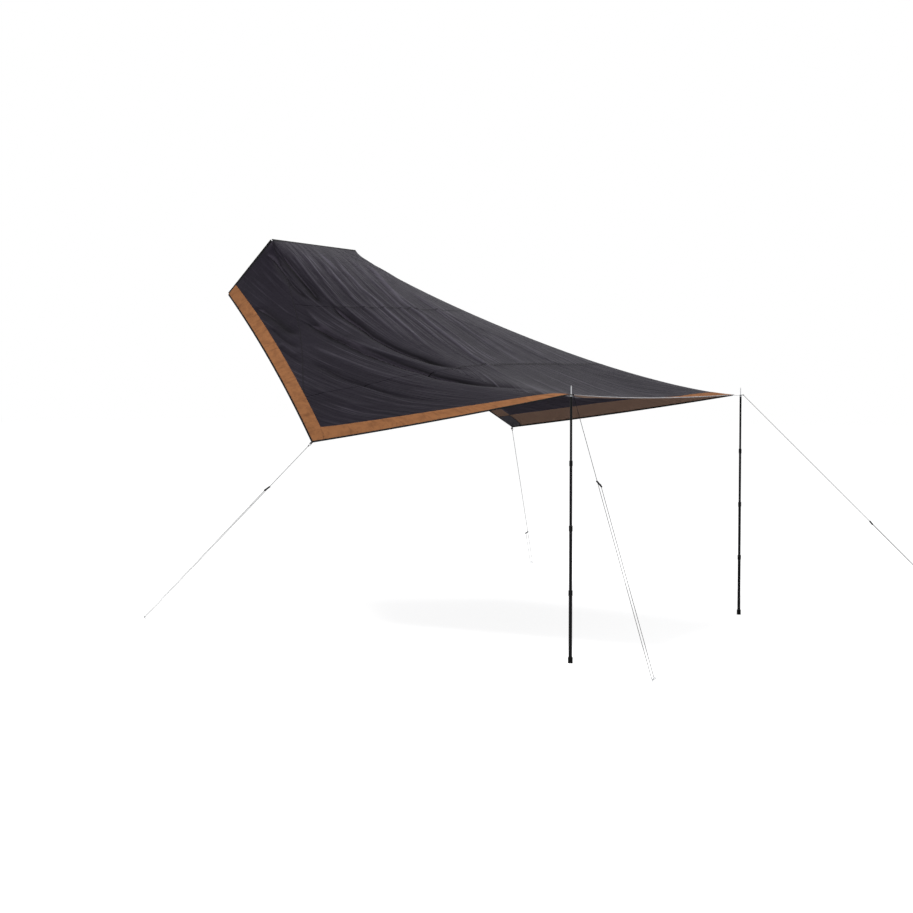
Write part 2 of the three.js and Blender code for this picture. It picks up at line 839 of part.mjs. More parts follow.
// Expander plug, with its stem in the upper tube and its head sliding in the lower one
function plugProfile(i) {
  const stem = tubeRadii[i] - tubeWall - seatGap;
  const head = tubeRadii[i + 1] - tubeWall - seatGap;
  const shoulder = -tubeEnds[i] - seatGap;
  const low = shoulder - plugHead;
  const high = plugStem - tubeEnds[i];
  return [[0, low], [head, low], [head, shoulder], [stem, shoulder], [stem, high], [0, high]];
}

function footProfile() {
  const low = -poleHeight;
  const high = low + footHeight;
  const bore = lastOf(tubeRadii) + seatGap;
  return [
    [0, low], [footRadius - footChamfer, low], [footRadius, low + footChamfer],
    [footRadius, high - footChamfer], [footRadius - footChamfer, high],
    [bore, high], [bore, low + footBase], [0, low + footBase],
  ];
}

// Heights of the eyelet and its tab above the top of the pole tube
const eyeletLow = Math.sqrt(domeRadius ** 2 - eyeletBore ** 2) + seatGap;
const tabLow = eyeletLow + eyeletPlate + seatGap;
const tabHigh = tabLow + webThick;
const eyeletHigh = tabHigh + seatGap + eyeletPlate;

function eyeletProfile() {
  const barrel = eyeletBore + eyeletWall;
  return [
    [eyeletFlange, eyeletLow], [eyeletFlange, eyeletLow + eyeletPlate], [barrel, eyeletLow + eyeletPlate],
    [barrel, eyeletHigh - eyeletPlate], [eyeletFlange, eyeletHigh - eyeletPlate], [eyeletFlange, eyeletHigh],
    [eyeletBore, eyeletHigh], [eyeletBore, eyeletLow], [eyeletFlange, eyeletLow],
  ];
}

function buildPole(end) {
  const pole = new THREE.Group();
  pole.position.copy(poleTops[end]);
  canopy.add(pole);
  place(`${end}_spike`, turned(spikeProfile(), roundSides), materials.steel, pole);
  tubeRadii.forEach((radius, i) => {
    place(`${end}_tube_${i + 1}`, turned(tubeProfile(i), roundSides), materials.aluminium, pole);
  });
  collarDepths.forEach((depth, i) => {
    place(`${end}_collar_${i + 1}`, collarGeometry(i), materials.plastic, pole);
    place(`${end}_plug_${i + 1}`, turned(plugProfile(i), slimSides), materials.plastic, pole);
  });
  place(`${end}_foot`, turned(footProfile(), roundSides), materials.rubber, pole);
  place(`${end}_eyelet`, turned(eyeletProfile(), roundSides), materials.steel, pole);
  const tab = place(`${end}_pole_tab`, poleTabGeometry(end), materials.webbing, pole);
  tab.rotation.z = inwardAt[end];
}

// Webbing

const probeSides = spread(-1, 1, probeCount / 2);

// Height of the nearest cloth face over a point, looking along a direction
function faceAbove(point, direction, names) {
  const start = point.clone().addScaledVector(direction, -probeReach);
  const targets = names.map((name) => canopy.getObjectByName(name));
  const hits = new THREE.Raycaster(start, direction).intersectObjects(targets);
  return hits.length ? hits[0].distance - probeReach : Infinity;
}

// Steepest rise at which a flat strap stays under the corner of the fabric
function tabRise(end) {
  const forward = vec(Math.cos(inwardAt[end]), Math.sin(inwardAt[end]), 0);
  const sideways = up.clone().cross(forward);
  const top = poleTops[end].clone().addScaledVector(up, tabHigh + seatGap);
  const rises = spread(cornerReach, poleTabEnd, probeCount).flatMap((reach) => probeSides.map((side) => {
    const beside = side * (poleTabWidth / 2 + clothThick);
    const point = top.clone().addScaledVector(forward, reach).addScaledVector(sideways, beside);
    return faceAbove(point, up, [`${end}_lower_band`, 'front_band']) / (reach - poleTabBend);
  }));
  return Math.min(...rises);
}

// Round-ended strap over the spike, bent up to follow the underside of the corner
function poleTabGeometry(end) {
  const half = poleTabWidth / 2;
  const outline = new THREE.Shape();
  outline.moveTo(poleTabBend, -half);
  outline.lineTo(poleTabBend, half);
  outline.absarc(0, 0, half, Math.PI / 2, 3 * Math.PI / 2);
  outline.holes.push(new THREE.Path().absarc(0, 0, eyeletBore + eyeletWall + seatGap, 0, 2 * Math.PI));
  const flat = new THREE.ExtrudeGeometry(outline, {
    depth: webThick,
    curveSegments: slimSides,
    bevelEnabled: false,
  });
  const rise = tabRise(end) * (poleTabEnd - poleTabBend);
  const stations = [[poleTabBend - joinOverlap, 0], [poleTabBend, 0], [poleTabEnd, rise]];
  const leaf = loft(stations.map(([reach, lift]) => (
    square.map((corner) => vec(reach, (2 * corner.x - 1) * half, tabLow + lift + corner.y * webThick))
  )), square);
  return joined([flat.translate(0, 0, tabLow), leaf]);
}

const groundHeight = -poleTopDrop - poleHeight;
const pegSpot = (plan) => vec(plan.pegRun, plan.pegSide, groundHeight);
const planOf = (name) => guyPlans.find((plan) => plan.name === name);

// Frame at a wing corner: pull runs toward the peg within the sheet, normal points out of the sheet
function wingFrame(end) {
  const side = end === 'near' ? -1 : 1;
  const corner = wingCorners[end];
  const { normal } = slopes(2 * side, 1);
  const pull = pegSpot(planOf(`${end}_wing`)).sub(corner).projectOnPlane(normal).normalize();
  return { corner, normal, pull, width: normal.clone().cross(pull) };
}

const loopCentre = wingTabClear + bindingWidth + wingLoopBore + webThick;

// Height of the top of the wing tab, just under the patch
function wingTabTop(end) {
  const { corner, normal, pull, width } = wingFrame(end);
  const heights = spread(0, wingTabLeaf, probeCount).flatMap((back) => probeSides.map((side) => {
    const point = corner.clone().addScaledVector(pull, -back).addScaledVector(width, side * wingTabWidth / 2);
    return faceAbove(point, normal, [`${end}_wing_patch`]);
  }));
  return Math.min(...heights) - seatGap;
}

// Folded strap with an open loop at its end, drawn in the plane of pull and normal
function buildWingTab(end) {
  const frame = wingFrame(end);
  const top = wingTabTop(end);
  const outer = wingLoopBore + webThick;
  const neck = Math.asin(webThick / outer);
  const outline = new THREE.Shape();
  outline.moveTo(-wingTabLeaf, top);
  outline.lineTo(-wingTabLeaf, top - 2 * webThick);
  outline.absarc(loopCentre, top - webThick, outer, Math.PI + neck, 3 * Math.PI - neck);
  outline.holes.push(new THREE.Path().absarc(loopCentre, top - webThick, wingLoopBore, 0, 2 * Math.PI));
  const geometry = new THREE.ExtrudeGeometry(outline, {
    depth: wingTabWidth,
    curveSegments: slimSides,
    bevelEnabled: false,
  });
  const tab = place(`${end}_wing_tab`, geometry.translate(0, 0, -wingTabWidth / 2), materials.webbing);
  const across = frame.pull.clone().cross(frame.normal);
  tab.quaternion.setFromRotationMatrix(new THREE.Matrix4().makeBasis(frame.pull, frame.normal, across));
  tab.position.copy(frame.corner);
}

// Guy lines

// Centre, heading and half sizes of the eye that holds a rope at its upper end
function ropeEye(plan) {
  const peg = pegSpot(plan);
  if (plan.name.endsWith('pole')) {
    const centre = poleTops[plan.end].clone().addScaledVector(up, eyeletHigh + seatGap + ropeRadius);
    const heading = peg.sub(centre).setZ(0).normalize();
    return { centre, heading, sideways: up.clone().cross(heading), long: eyeRadius, wide: eyeRadius };
  }
  const { corner, normal, pull, width } = wingFrame(plan.end);
  const loop = corner.clone().addScaledVector(pull, loopCentre);
  loop.addScaledVector(normal, wingTabTop(plan.end) - webThick);
  const heading = peg.sub(loop).normalize();
  const centre = loop.addScaledVector(heading, wingEyeLong);
  return { centre, heading, sideways: width, long: wingEyeLong, wide: wingEyeWide };
}

// Line of one rope: knot, run to the peg, turn round the peg and run back to the adjuster
function ropeLine(plan) {
  const eye = ropeEye(plan);
  const knot = eye.centre.clone().addScaledVector(eye.heading, eye.long + knotReach);
  const spot = pegSpot(plan);
  const outward = spot.clone().sub(knot).setZ(0).normalize();
  const lean = degToRad(pegLean);
  const axis = outward.clone().multiplyScalar(Math.sin(lean)).addScaledVector(up, Math.cos(lean));
  const shaft = spot.clone().addScaledVector(axis, turnHeight / Math.cos(lean));
  const radius = sliderPitch * Math.sin(degToRad(sliderSlant)) / 2;
  const turn = shaft.clone();
  let along;
  let across;
  for (let pass = 0; pass < turnSteps; pass++) {
    const aim = pass ? turn.clone().addScaledVector(across, -radius) : turn;
    along = aim.clone().sub(knot).normalize();
    across = up.clone().cross(along).normalize();
    const section = pegRadius / Math.abs(axis.dot(along.clone().cross(across)));
    turn.copy(shaft).addScaledVector(along, section + seatGap + ropeRadius - radius);
  }
  return { eye, knot, spot, outward, axis, turn, radius, along, across };
}

// Places of the two holes of the adjuster on the two strands
function sliderHoles(plan, line) {
  const slant = degToRad(sliderSlant);
  const length = line.turn.distanceTo(line.knot);
  const upper = line.knot.clone().addScaledVector(line.along, plan.sliderShare * length);
  const tilt = line.along.clone().multiplyScalar(Math.cos(slant));
  tilt.addScaledVector(line.across, Math.sin(slant));
  return { upper, lower: upper.clone().addScaledVector(tilt, sliderPitch), tilt };
}

function buildRope(plan, line) {
  const { eye, knot, turn, radius, along, across } = line;
  const open = Math.acos(eye.long / (eye.long + knotReach));
  const loop = spread(open, 2 * Math.PI - open, loopSteps).map((angle) => (
    eye.centre.clone()
      .addScaledVector(eye.heading, eye.long * Math.cos(angle))
      .addScaledVector(eye.sideways, eye.wide * Math.sin(angle))
  ));
  const bend = spread(0, Math.PI, turnSteps).map((angle) => (
    turn.clone()
      .addScaledVector(across, -radius * Math.cos(angle))
      .addScaledVector(along, radius * Math.sin(angle))
  ));
  const standOff = (sliderThick / 2 + knotRadius + seatGap) / Math.sin(degToRad(sliderSlant));
  const tail = sliderHoles(plan, line).lower.addScaledVector(along, -standOff);
  const ball = new THREE.SphereGeometry(knotRadius, ropeSides, ropeSides / 2);
  const eyeKnot = ball.clone().scale(1, 1, knotStretchShare);
  eyeKnot.applyQuaternion(new THREE.Quaternion().setFromUnitVectors(up, eye.heading));
  eyeKnot.translate(knot.x, knot.y, knot.z);
  const tailKnot = ball.translate(tail.x, tail.y, tail.z);
  const eyeTube = tube([knot, ...loop, knot], ropeRadius, ropeSides);
  const mainTube = tube([knot, ...bend, tail], ropeRadius, ropeSides);
  place(`${plan.name}_rope`, joined([eyeTube, mainTube, eyeKnot, tailKnot]), materials.rope);
}

// Flat bar with a round end at each of two slanted bores
function sliderGeometry() {
  const slant = degToRad(sliderSlant);
  const radius = sliderWidth / 2;
  const half = sliderLength / 2 - radius;
  const outline = new THREE.Shape();
  outline.absarc(half, 0, radius, -Math.PI / 2, Math.PI / 2);
  outline.absarc(-half, 0, radius, Math.PI / 2, 3 * Math.PI / 2);
  const bar = new THREE.ExtrudeGeometry(outline, {
    depth: sliderThick,
    curveSegments: pegSides,
    bevelEnabled: false,
  });
  bar.translate(0, 0, -sliderThick / 2);
  const heading = vec(Math.cos(slant), 0, Math.sin(slant));
  const swing = new THREE.Quaternion().setFromUnitVectors(vec(0, 1, 0), heading);
  const bores = [-1, 1].map((side) => (
    new THREE.CylinderGeometry(sliderBore, sliderBore, sliderLength, slimSides)
      .applyQuaternion(swing)
      .translate(side * sliderPitch / 2, 0, 0)
  ));
  return shell(bores.reduce((body, bore) => body.subtract(solid(bore)), solid(bar)));
}

function buildSlider(plan, line) {
  const { upper, lower, tilt } = sliderHoles(plan, line);
  const width = line.along.clone().cross(line.across);
  const slider = place(`${plan.name}_slider`, sliderGeometry(), materials.slider);
  const turn = new THREE.Matrix4().makeBasis(tilt, width, tilt.clone().cross(width));
  slider.quaternion.setFromRotationMatrix(turn);
  slider.position.copy(upper).lerp(lower, 0.5);
}

// Ground peg with a point below and a hook above, along its own Z axis
function pegGeometry() {
  const turn = spread(Math.PI, Math.PI - degToRad(pegHookTurn), pegHookSteps).map((angle) => (
    vec(pegHookRadius * (1 + Math.cos(angle)), 0, pegProud + pegHookRadius * Math.sin(angle))
  ));
  const shoulder = pegPoint - pegBuried;
  const rod = tube([vec(0, 0, shoulder), ...turn], pegRadius, pegSides);
  const overlap = shoulder + joinOverlap;
  const tip = [[0, -pegBuried], [pegPointRadius, shoulder], [pegPointRadius, overlap], [0, overlap]];
  return joined([rod, turned(tip, pegSides)]);
}

function buildPeg(plan, line) {
  const peg = place(`${plan.name}_peg`, pegGeometry(), materials.steel);
  const lean = degToRad(pegLean);
  const hook = line.outward.clone().multiplyScalar(Math.cos(lean)).addScaledVector(up, -Math.sin(lean));
  const turn = new THREE.Matrix4().makeBasis(hook, line.axis.clone().cross(hook), line.axis);
  peg.quaternion.setFromRotationMatrix(turn);
  peg.position.copy(line.spot);
}

buildFabric();
for (const end of ['near', 'far']) {
  buildPole(end);
  buildWingTab(end);
}
for (const plan of guyPlans) {
  const line = ropeLine(plan);
  buildRope(plan, line);
  buildSlider(plan, line);
  buildPeg(plan, line);
}

canopy.updateMatrixWorld(true);

export default canopy;
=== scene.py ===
# Sun canopy of a roof tent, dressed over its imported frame, in metres with +Z up.

import math

import bmesh
import bpy
import numpy as np
from mathutils import Matrix, Vector


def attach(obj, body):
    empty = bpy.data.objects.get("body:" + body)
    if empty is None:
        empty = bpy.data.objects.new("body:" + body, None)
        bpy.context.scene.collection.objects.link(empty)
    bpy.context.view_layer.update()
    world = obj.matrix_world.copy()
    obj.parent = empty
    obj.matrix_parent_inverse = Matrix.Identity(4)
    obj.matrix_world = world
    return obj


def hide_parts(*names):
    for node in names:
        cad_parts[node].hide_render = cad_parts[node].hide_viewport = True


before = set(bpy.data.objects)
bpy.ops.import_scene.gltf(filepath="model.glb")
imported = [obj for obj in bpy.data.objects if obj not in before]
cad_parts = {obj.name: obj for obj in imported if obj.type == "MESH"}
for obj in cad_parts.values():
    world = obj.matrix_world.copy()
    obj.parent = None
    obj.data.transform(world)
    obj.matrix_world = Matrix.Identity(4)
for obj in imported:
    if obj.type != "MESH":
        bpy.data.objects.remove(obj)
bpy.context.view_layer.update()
print("frame loaded:", len(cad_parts), "nodes")

# Camera, at the height of the pole tops

camera = {"place": (9.619, -11.160, -1.554), "heading": 35.1, "pitch": 2.42, "lens": 55.99, "sensor": 36.0,
          "photoSide": 913}


def cameraAim():
    heading, pitch = math.radians(camera["heading"]), math.radians(camera["pitch"])
    return (-math.sin(heading) * math.cos(pitch), math.cos(heading) * math.cos(pitch), -math.sin(pitch))


def placeCamera():
    data = bpy.data.cameras.new("camera")
    data.lens = camera["lens"]
    data.sensor_width = camera["sensor"]
    data.clip_end = 200
    eye = bpy.data.objects.new("camera", data)
    eye.location = camera["place"]
    eye.rotation_euler = Vector(cameraAim()).to_track_quat("-Z", "Y").to_euler()
    bpy.context.scene.collection.objects.link(eye)
    bpy.context.scene.camera = eye


placeCamera()

# Finishes: shader maths written as expressions


class Wire:
    def __init__(self, finish, socket):
        self.finish = finish
        self.socket = socket

    def maths(self, operation, first, second=0.0):
        return self.finish.node("ShaderNodeMath", {"operation": operation}, {0: first, 1: second})

    def __add__(self, other):
        return self.maths("ADD", self, other)

    def __radd__(self, other):
        return self.maths("ADD", other, self)

    def __sub__(self, other):
        return self.maths("SUBTRACT", self, other)

    def __rsub__(self, other):
        return self.maths("SUBTRACT", other, self)

    def __mul__(self, other):
        return self.maths("MULTIPLY", self, other)

    def __rmul__(self, other):
        return self.maths("MULTIPLY", other, self)

    def __truediv__(self, other):
        return self.maths("DIVIDE", self, other)

    def top(self, other):
        return self.maths("MAXIMUM", self, other)

    def sine(self):
        return self.maths("SINE", self)

    def toNearest(self, spacing):  # distance to the nearest whole multiple of the spacing
        return self.maths("PINGPONG", self, spacing / 2)

    def between(self, low, high):  # 0 below low, 1 above high
        limits = {"Value": self, "From Min": low, "From Max": high}
        return self.finish.node("ShaderNodeMapRange", {"interpolation_type": "SMOOTHSTEP"}, limits)


class Finish:
    def __init__(self, name):
        self.material = bpy.data.materials.new(name)
        self.material.use_nodes = True
        self.tree = self.material.node_tree
        self.tree.nodes.clear()

    def node(self, kind, settings=None, sockets=None, output=0):
        made = self.tree.nodes.new(kind)
        for key, value in (settings or {}).items():
            setattr(made, key, value)
        for key, value in (sockets or {}).items():
            if isinstance(value, Wire):
                self.tree.links.new(value.socket, made.inputs[key])
            else:
                made.inputs[key].default_value = value
        return Wire(self, made.outputs[output]) if made.outputs else None

    def weave(self):  # the piece's own map, in metres of cloth
        place = self.node("ShaderNodeUVMap", {"uv_map": "weave"})
        return self.parts(place)

    def solidPlace(self):
        return self.parts(self.node("ShaderNodeTexCoord", output=3))

    def parts(self, vector):
        split = self.node("ShaderNodeSeparateXYZ", None, {0: vector})
        outputs = split.socket.node.outputs
        return [Wire(self, outputs[i]) for i in range(3)]

    def point(self, x, y, z=0.0):
        return self.node("ShaderNodeCombineXYZ", None, {0: x, 1: y, 2: z})

    def noise(self, place, scale, detail=3.0, rough=0.5, warp=0.0):
        sockets = {"Vector": place, "Scale": scale, "Detail": detail, "Roughness": rough, "Distortion": warp}
        return self.node("ShaderNodeTexNoise", None, sockets)

    def amount(self, name):
        return self.node("ShaderNodeAttribute", {"attribute_name": name}, output=2)

    def mix(self, share, first, second):
        return self.node("ShaderNodeMix", {"data_type": "RGBA"}, {0: share, 6: first, 7: second}, 2)

    def bump(self, height, distance, strength=1.0, below=None):
        sockets = {"Strength": strength, "Distance": distance, "Height": height}
        if below is not None:
            sockets["Normal"] = below
        return self.node("ShaderNodeBump", None, sockets)

    def close(self, colour, roughness, normal=None, **fixed):
        sockets = {"Base Color": colour, "Roughness": roughness}
        if normal is not None:
            sockets["Normal"] = normal
        sockets.update(fixed)
        shader = self.node("ShaderNodeBsdfPrincipled", None, sockets)
        self.node("ShaderNodeOutputMaterial", None, {0: shader})
        return self.material


def tone(red, green, blue):
    return (red, green, blue, 1.0)


ripstop = {
    "dark": tone(0.0072, 0.0056, 0.0094), "light": tone(0.0112, 0.0090, 0.0144),
    "line": tone(0.022, 0.018, 0.028),
    # Painted highlight tone for wrinkle crests and fold ridges, then painted shade tone for fold creases
    "streak": tone(0.062, 0.056, 0.072), "creaseShadeTone": tone(0.0018, 0.0014, 0.0022),
    # Lighter tone for faces turned down: painted light on the underside
    "under": tone(0.046, 0.039, 0.053),
    "grid": 0.006, "lineHalf": 0.0005, "thread": 0.0006, "roughness": 0.52, "crinkle": 0.0045,
    "stitchRows": (-0.0042, 0.0042), "stitchHalf": 0.0005, "stitchPitch": 0.0045,
    "ripple": 0.020, "fineRipple": 0.006, "pucker": 0.012, "ripplePaintedSheen": 0.70, "finePaintedSheen": 0.34,
    "ridgePaintedHighlight": 0.75, "strip": tone(0.006, 0.005, 0.007),
}


def ripstopFinish():
    cloth = Finish("ripstop")
    u, v, unused = cloth.weave()
    flat = cloth.point(u, v)
    line = 1 - u.toNearest(ripstop["grid"]).between(ripstop["lineHalf"] / 2, ripstop["lineHalf"])
    line = line.top(1 - v.toNearest(ripstop["grid"]).between(ripstop["lineHalf"] / 2, ripstop["lineHalf"]))
    threads = u.toNearest(ripstop["thread"]) + v.toNearest(ripstop["thread"])
    cloud = cloth.noise(flat, 1.3, 4.0, 0.6)
    crinkle = cloth.noise(flat, 8.0, 5.0, 0.60, 0.6)
    flow = cloth.amount("flow")
    ripple = cloth.noise(cloth.point(flow * 10.0, v * 0.9), 1.0, 2.0, 0.5, 0.2)
    thread = cloth.noise(cloth.point(flow * 31.0, v * 1.7, 4.0), 1.0, 1.0, 0.5, 0.1)
    pucker = cloth.noise(flat, 30.0, 2.0, 0.5)
    seam = cloth.amount("seamPlace")
    stitches = stitchMask(cloth, seam, u + v, ripstop["stitchRows"], ripstop["stitchHalf"],
                          ripstop["stitchPitch"])
    relief = ripple * ripstop["ripple"] + thread * ripstop["fineRipple"]
    relief = crinkle * ripstop["crinkle"] + relief * cloth.amount("fineWaves")
    relief = relief + pucker * cloth.amount("pucker") * ripstop["pucker"]
    soft = cloth.bump(relief, 1.0, 0.9)
    fine = cloth.bump(line * 0.00012 + threads * 0.12 - stitches * 0.0006, 1.0, 0.35, soft)
    colour = cloth.mix(cloud.between(0.3, 0.7), ripstop["dark"], ripstop["light"])
    colour = cloth.mix(line * 0.35, colour, ripstop["line"])
    colour = cloth.mix(cloth.amount("seamShade"), colour, ripstop["strip"])
    # Painted sheen: the crests of the fine wrinkles are coloured lighter, standing in for light caught on them
    paintedSheenStreaks = ripple.between(0.57, 0.72) * ripstop["ripplePaintedSheen"]
    paintedSheenStreaks = paintedSheenStreaks + thread.between(0.59, 0.73) * ripstop["finePaintedSheen"]
    colour = cloth.mix(paintedSheenStreaks * cloth.amount("fineWaves"), colour, ripstop["streak"])
    # Painted highlight: raised fold crests are coloured lighter, where sheen would fall
    colour = cloth.mix(cloth.amount("paintedRidgeHighlight") * ripstop["ridgePaintedHighlight"], colour, ripstop["streak"])
    # Painted shade: sunk fold creases are coloured near black, where shade falls
    colour = cloth.mix(cloth.amount("paintedCreaseShade"), colour, ripstop["creaseShadeTone"])
    # Painted light: faces turned down take a lighter tone, standing in for light on the underside
    face = cloth.node("ShaderNodeNewGeometry", output=3)
    colour = cloth.mix(cloth.parts(face)[2].between(-0.1, 0.1), ripstop["under"], colour)
    rough = crinkle * 0.14 + ripstop["roughness"]
    fixed = {"Sheen Weight": 0.08, "Sheen Roughness": 0.4, "Sheen Tint": tone(0.80, 0.78, 0.88),
             "Specular IOR Level": 0.065}
    return cloth.close(colour, rough, fine, **fixed)


canvas = {
    "tan": tone(0.285, 0.122, 0.050), "brown": tone(0.175, 0.073, 0.032), "stitch": tone(0.10, 0.043, 0.021),
    # Paler tone for faces turned down: painted light coming through the cloth
    "under": tone(0.315, 0.198, 0.147),
    "rib": 0.0011, "pitch": 0.0042, "stitchRows": (0.0025, 0.0085), "stitchHalf": 0.0005,
}


def stitchMask(finish, u, v, rows, half, pitch):
    mask = None
    for row in rows:
        distance = finish.node("ShaderNodeMath", {"operation": "ABSOLUTE"}, {0: u - row})
        line = 1 - distance.between(half * 0.8, half * 1.4)
        mask = line if mask is None else mask.top(line)
    return mask * v.toNearest(pitch).between(pitch * 0.10, pitch * 0.16)


def canvasFinish():
    band = Finish("tanCanvas")
    u, v, unused = band.weave()
    flat = band.point(u, v)
    mottle = band.noise(flat, 11.0, 5.0, 0.62, 0.4)
    crease = band.noise(band.point(u * 3.0, v * 14.0), 1.0, 4.0, 0.6, 1.2)
    ribs = u.toNearest(canvas["rib"]) + v.toNearest(canvas["rib"])
    stitches = stitchMask(band, u, v, canvas["stitchRows"], canvas["stitchHalf"], canvas["pitch"])
    share = mottle.between(0.40, 0.66) * 0.55 + crease.between(0.52, 0.66) * 0.45
    colour = band.mix(share, canvas["tan"], canvas["brown"])
    colour = band.mix(stitches, colour, canvas["stitch"])
    # Painted light: faces turned down take a paler greyish tan, standing in for light through the cloth
    face = band.node("ShaderNodeNewGeometry", output=3)
    colour = band.mix(band.parts(face)[2].between(-0.1, 0.1), canvas["under"], colour)
    soft = band.bump(mottle * 0.004 + crease * 0.004, 1.0, 0.7)
    fine = band.bump(ribs * 0.16 + stitches * 0.0006, 1.0, 0.35, soft)
    fixed = {"Sheen Weight": 0.03, "Sheen Roughness": 0.5, "Specular IOR Level": 0.03}
    return band.close(colour, mottle * 0.1 + 0.72, fine, **fixed)


def tapeFinish(name, colour, light, rib, roughness, under=None):
    tape = Finish(name)
    u, v, unused = tape.weave()
    across = (v * (2 * math.pi / rib)).sine() * 0.5 + 0.5
    along = (u * (2 * math.pi / (rib * 1.4))).sine() * 0.5 + 0.5
    wear = tape.noise(tape.point(u, v), 24.0, 4.0, 0.6)
    shade = tape.mix(wear.between(0.45, 0.75) * 0.5, colour, light)
    # Faces turned down take the under tone; for the webbing it is a lighter grey, painted light on the
    # underside
    if under:
        face = tape.node("ShaderNodeNewGeometry", output=3)
        shade = tape.mix(tape.parts(face)[2].between(-0.1, 0.1), under, shade)
    relief = tape.bump(across * along * 0.0003, 1.0, 0.6)
    fixed = {"Sheen Weight": 0.05, "Specular IOR Level": 0.06}
    return tape.close(shade, wear * 0.1 + roughness, relief, **fixed)


def anodisedFinish():
    tube = Finish("blackAnodised")
    x, y, z = tube.solidPlace()
    streak = tube.noise(tube.point(x * 260, y * 260, z * 3.0), 1.0, 3.0, 0.6)
    scuff = tube.noise(tube.point(x * 90, y * 90, z * 24.0), 1.0, 4.0, 0.7)
    colour = tube.mix(streak.between(0.35, 0.7), tone(0.0035, 0.0035, 0.004), tone(0.008, 0.008, 0.009))
    colour = tube.mix(scuff.between(0.66, 0.78) * 0.4, colour, tone(0.03, 0.03, 0.033))
    relief = tube.bump(streak * 0.0002, 1.0, 0.3)
    return tube.close(colour, streak * 0.16 + 0.34, relief, **{"Specular IOR Level": 0.09})


def mouldedFinish(name, colour, light, roughness, grain):
    moulded = Finish(name)
    x, y, z = moulded.solidPlace()
    place = moulded.point(x, y, z)
    speckle = moulded.noise(place, grain, 2.0, 0.5)
    wear = moulded.noise(place, 60.0, 4.0, 0.65)
    shade = moulded.mix(wear.between(0.5, 0.8) * 0.6, colour, light)
    return moulded.close(shade, wear * 0.16 + roughness, moulded.bump(speckle * 0.0002, 1.0, 0.5),
                         **{"Specular IOR Level": 0.12})


def steelFinish():
    steel = Finish("zincSteel")
    x, y, z = steel.solidPlace()
    brushed = steel.noise(steel.point(x * 500, y * 500, z * 30), 1.0, 2.0, 0.5)
    spangle = steel.noise(steel.point(x, y, z), 130.0, 3.0, 0.6)
    colour = steel.mix(spangle.between(0.3, 0.7), tone(0.46, 0.47, 0.49), tone(0.62, 0.63, 0.65))
    return steel.close(colour, spangle * 0.15 + 0.22, steel.bump(brushed * 0.0001, 1.0, 0.4), Metallic=1.0)


def cordFinish():
    cord = Finish("braidedCord")
    u, v, unused = cord.weave()
    left = (u * (16 * math.pi) + v * (2 * math.pi / 0.009)).sine()
    right = (u * (16 * math.pi) - v * (2 * math.pi / 0.009)).sine()
    braid = left * right
    fleck = cord.noise(cord.point(u * 3, v * 160), 1.0, 2.0, 0.5)
    # Painted shade: the braid is coloured darker in its grooves and lighter on its raised strands
    colour = cord.mix(braid.between(-0.5, 0.5), tone(0.007, 0.007, 0.008), tone(0.018, 0.018, 0.020))
    colour = cord.mix(fleck.between(0.62, 0.68) * 0.25, colour, tone(0.32, 0.32, 0.34))
    fixed = {"Sheen Weight": 0.02, "Specular IOR Level": 0.03}
    return cord.close(colour, 0.75, cord.bump(braid * 0.0003, 1.0, 0.7), **fixed)


finishes = {
    "ripstop": ripstopFinish(),
    "tan_band": canvasFinish(),
    "binding": tapeFinish("edgeTape", tone(0.0055, 0.0055, 0.006), tone(0.016, 0.016, 0.017), 0.0016, 0.78),
    # The webbing's last tone is a lighter grey for faces turned down: painted light
    "webbing": tapeFinish("webbing", tone(0.0085, 0.0085, 0.0095), tone(0.024, 0.024, 0.026), 0.0022, 0.82,
                          tone(0.095, 0.090, 0.105)),
    # The hem tape's light grey stands in for the highlight along the lit front hem: painted highlight
    "hem": tapeFinish("hemTapePaintedHighlight", tone(0.42, 0.41, 0.42), tone(0.58, 0.57, 0.58), 0.0016, 0.55),
    "keder": tapeFinish("beadTape", tone(0.0095, 0.0095, 0.0105), tone(0.020, 0.020, 0.022), 0.0012, 0.52),
    "pole_tube": anodisedFinish(),
    "collar": mouldedFinish("mouldedGrip", tone(0.0055, 0.0055, 0.006), tone(0.018, 0.018, 0.019),
                            0.44, 900.0),
    "rubber": mouldedFinish("footRubber", tone(0.006, 0.006, 0.006), tone(0.022, 0.021, 0.020),
                            0.74, 500.0),
    "steel": steelFinish(),
    "rope": cordFinish(),
    "slider": mouldedFinish("adjusterAnodised", tone(0.012, 0.012, 0.013), tone(0.05, 0.05, 0.052),
                            0.36, 700.0),
}
print("finishes made:", len(finishes))

# Meshes


def linked(name, mesh, body, slot, replaced=()):
    piece = bpy.data.objects.new(name, mesh)
    bpy.context.scene.collection.objects.link(piece)
    mesh.materials.append(finishes[slot])
    for face in mesh.polygons:
        face.use_smooth = True
    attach(piece, body)
    if replaced:
        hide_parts(*replaced)
    return piece


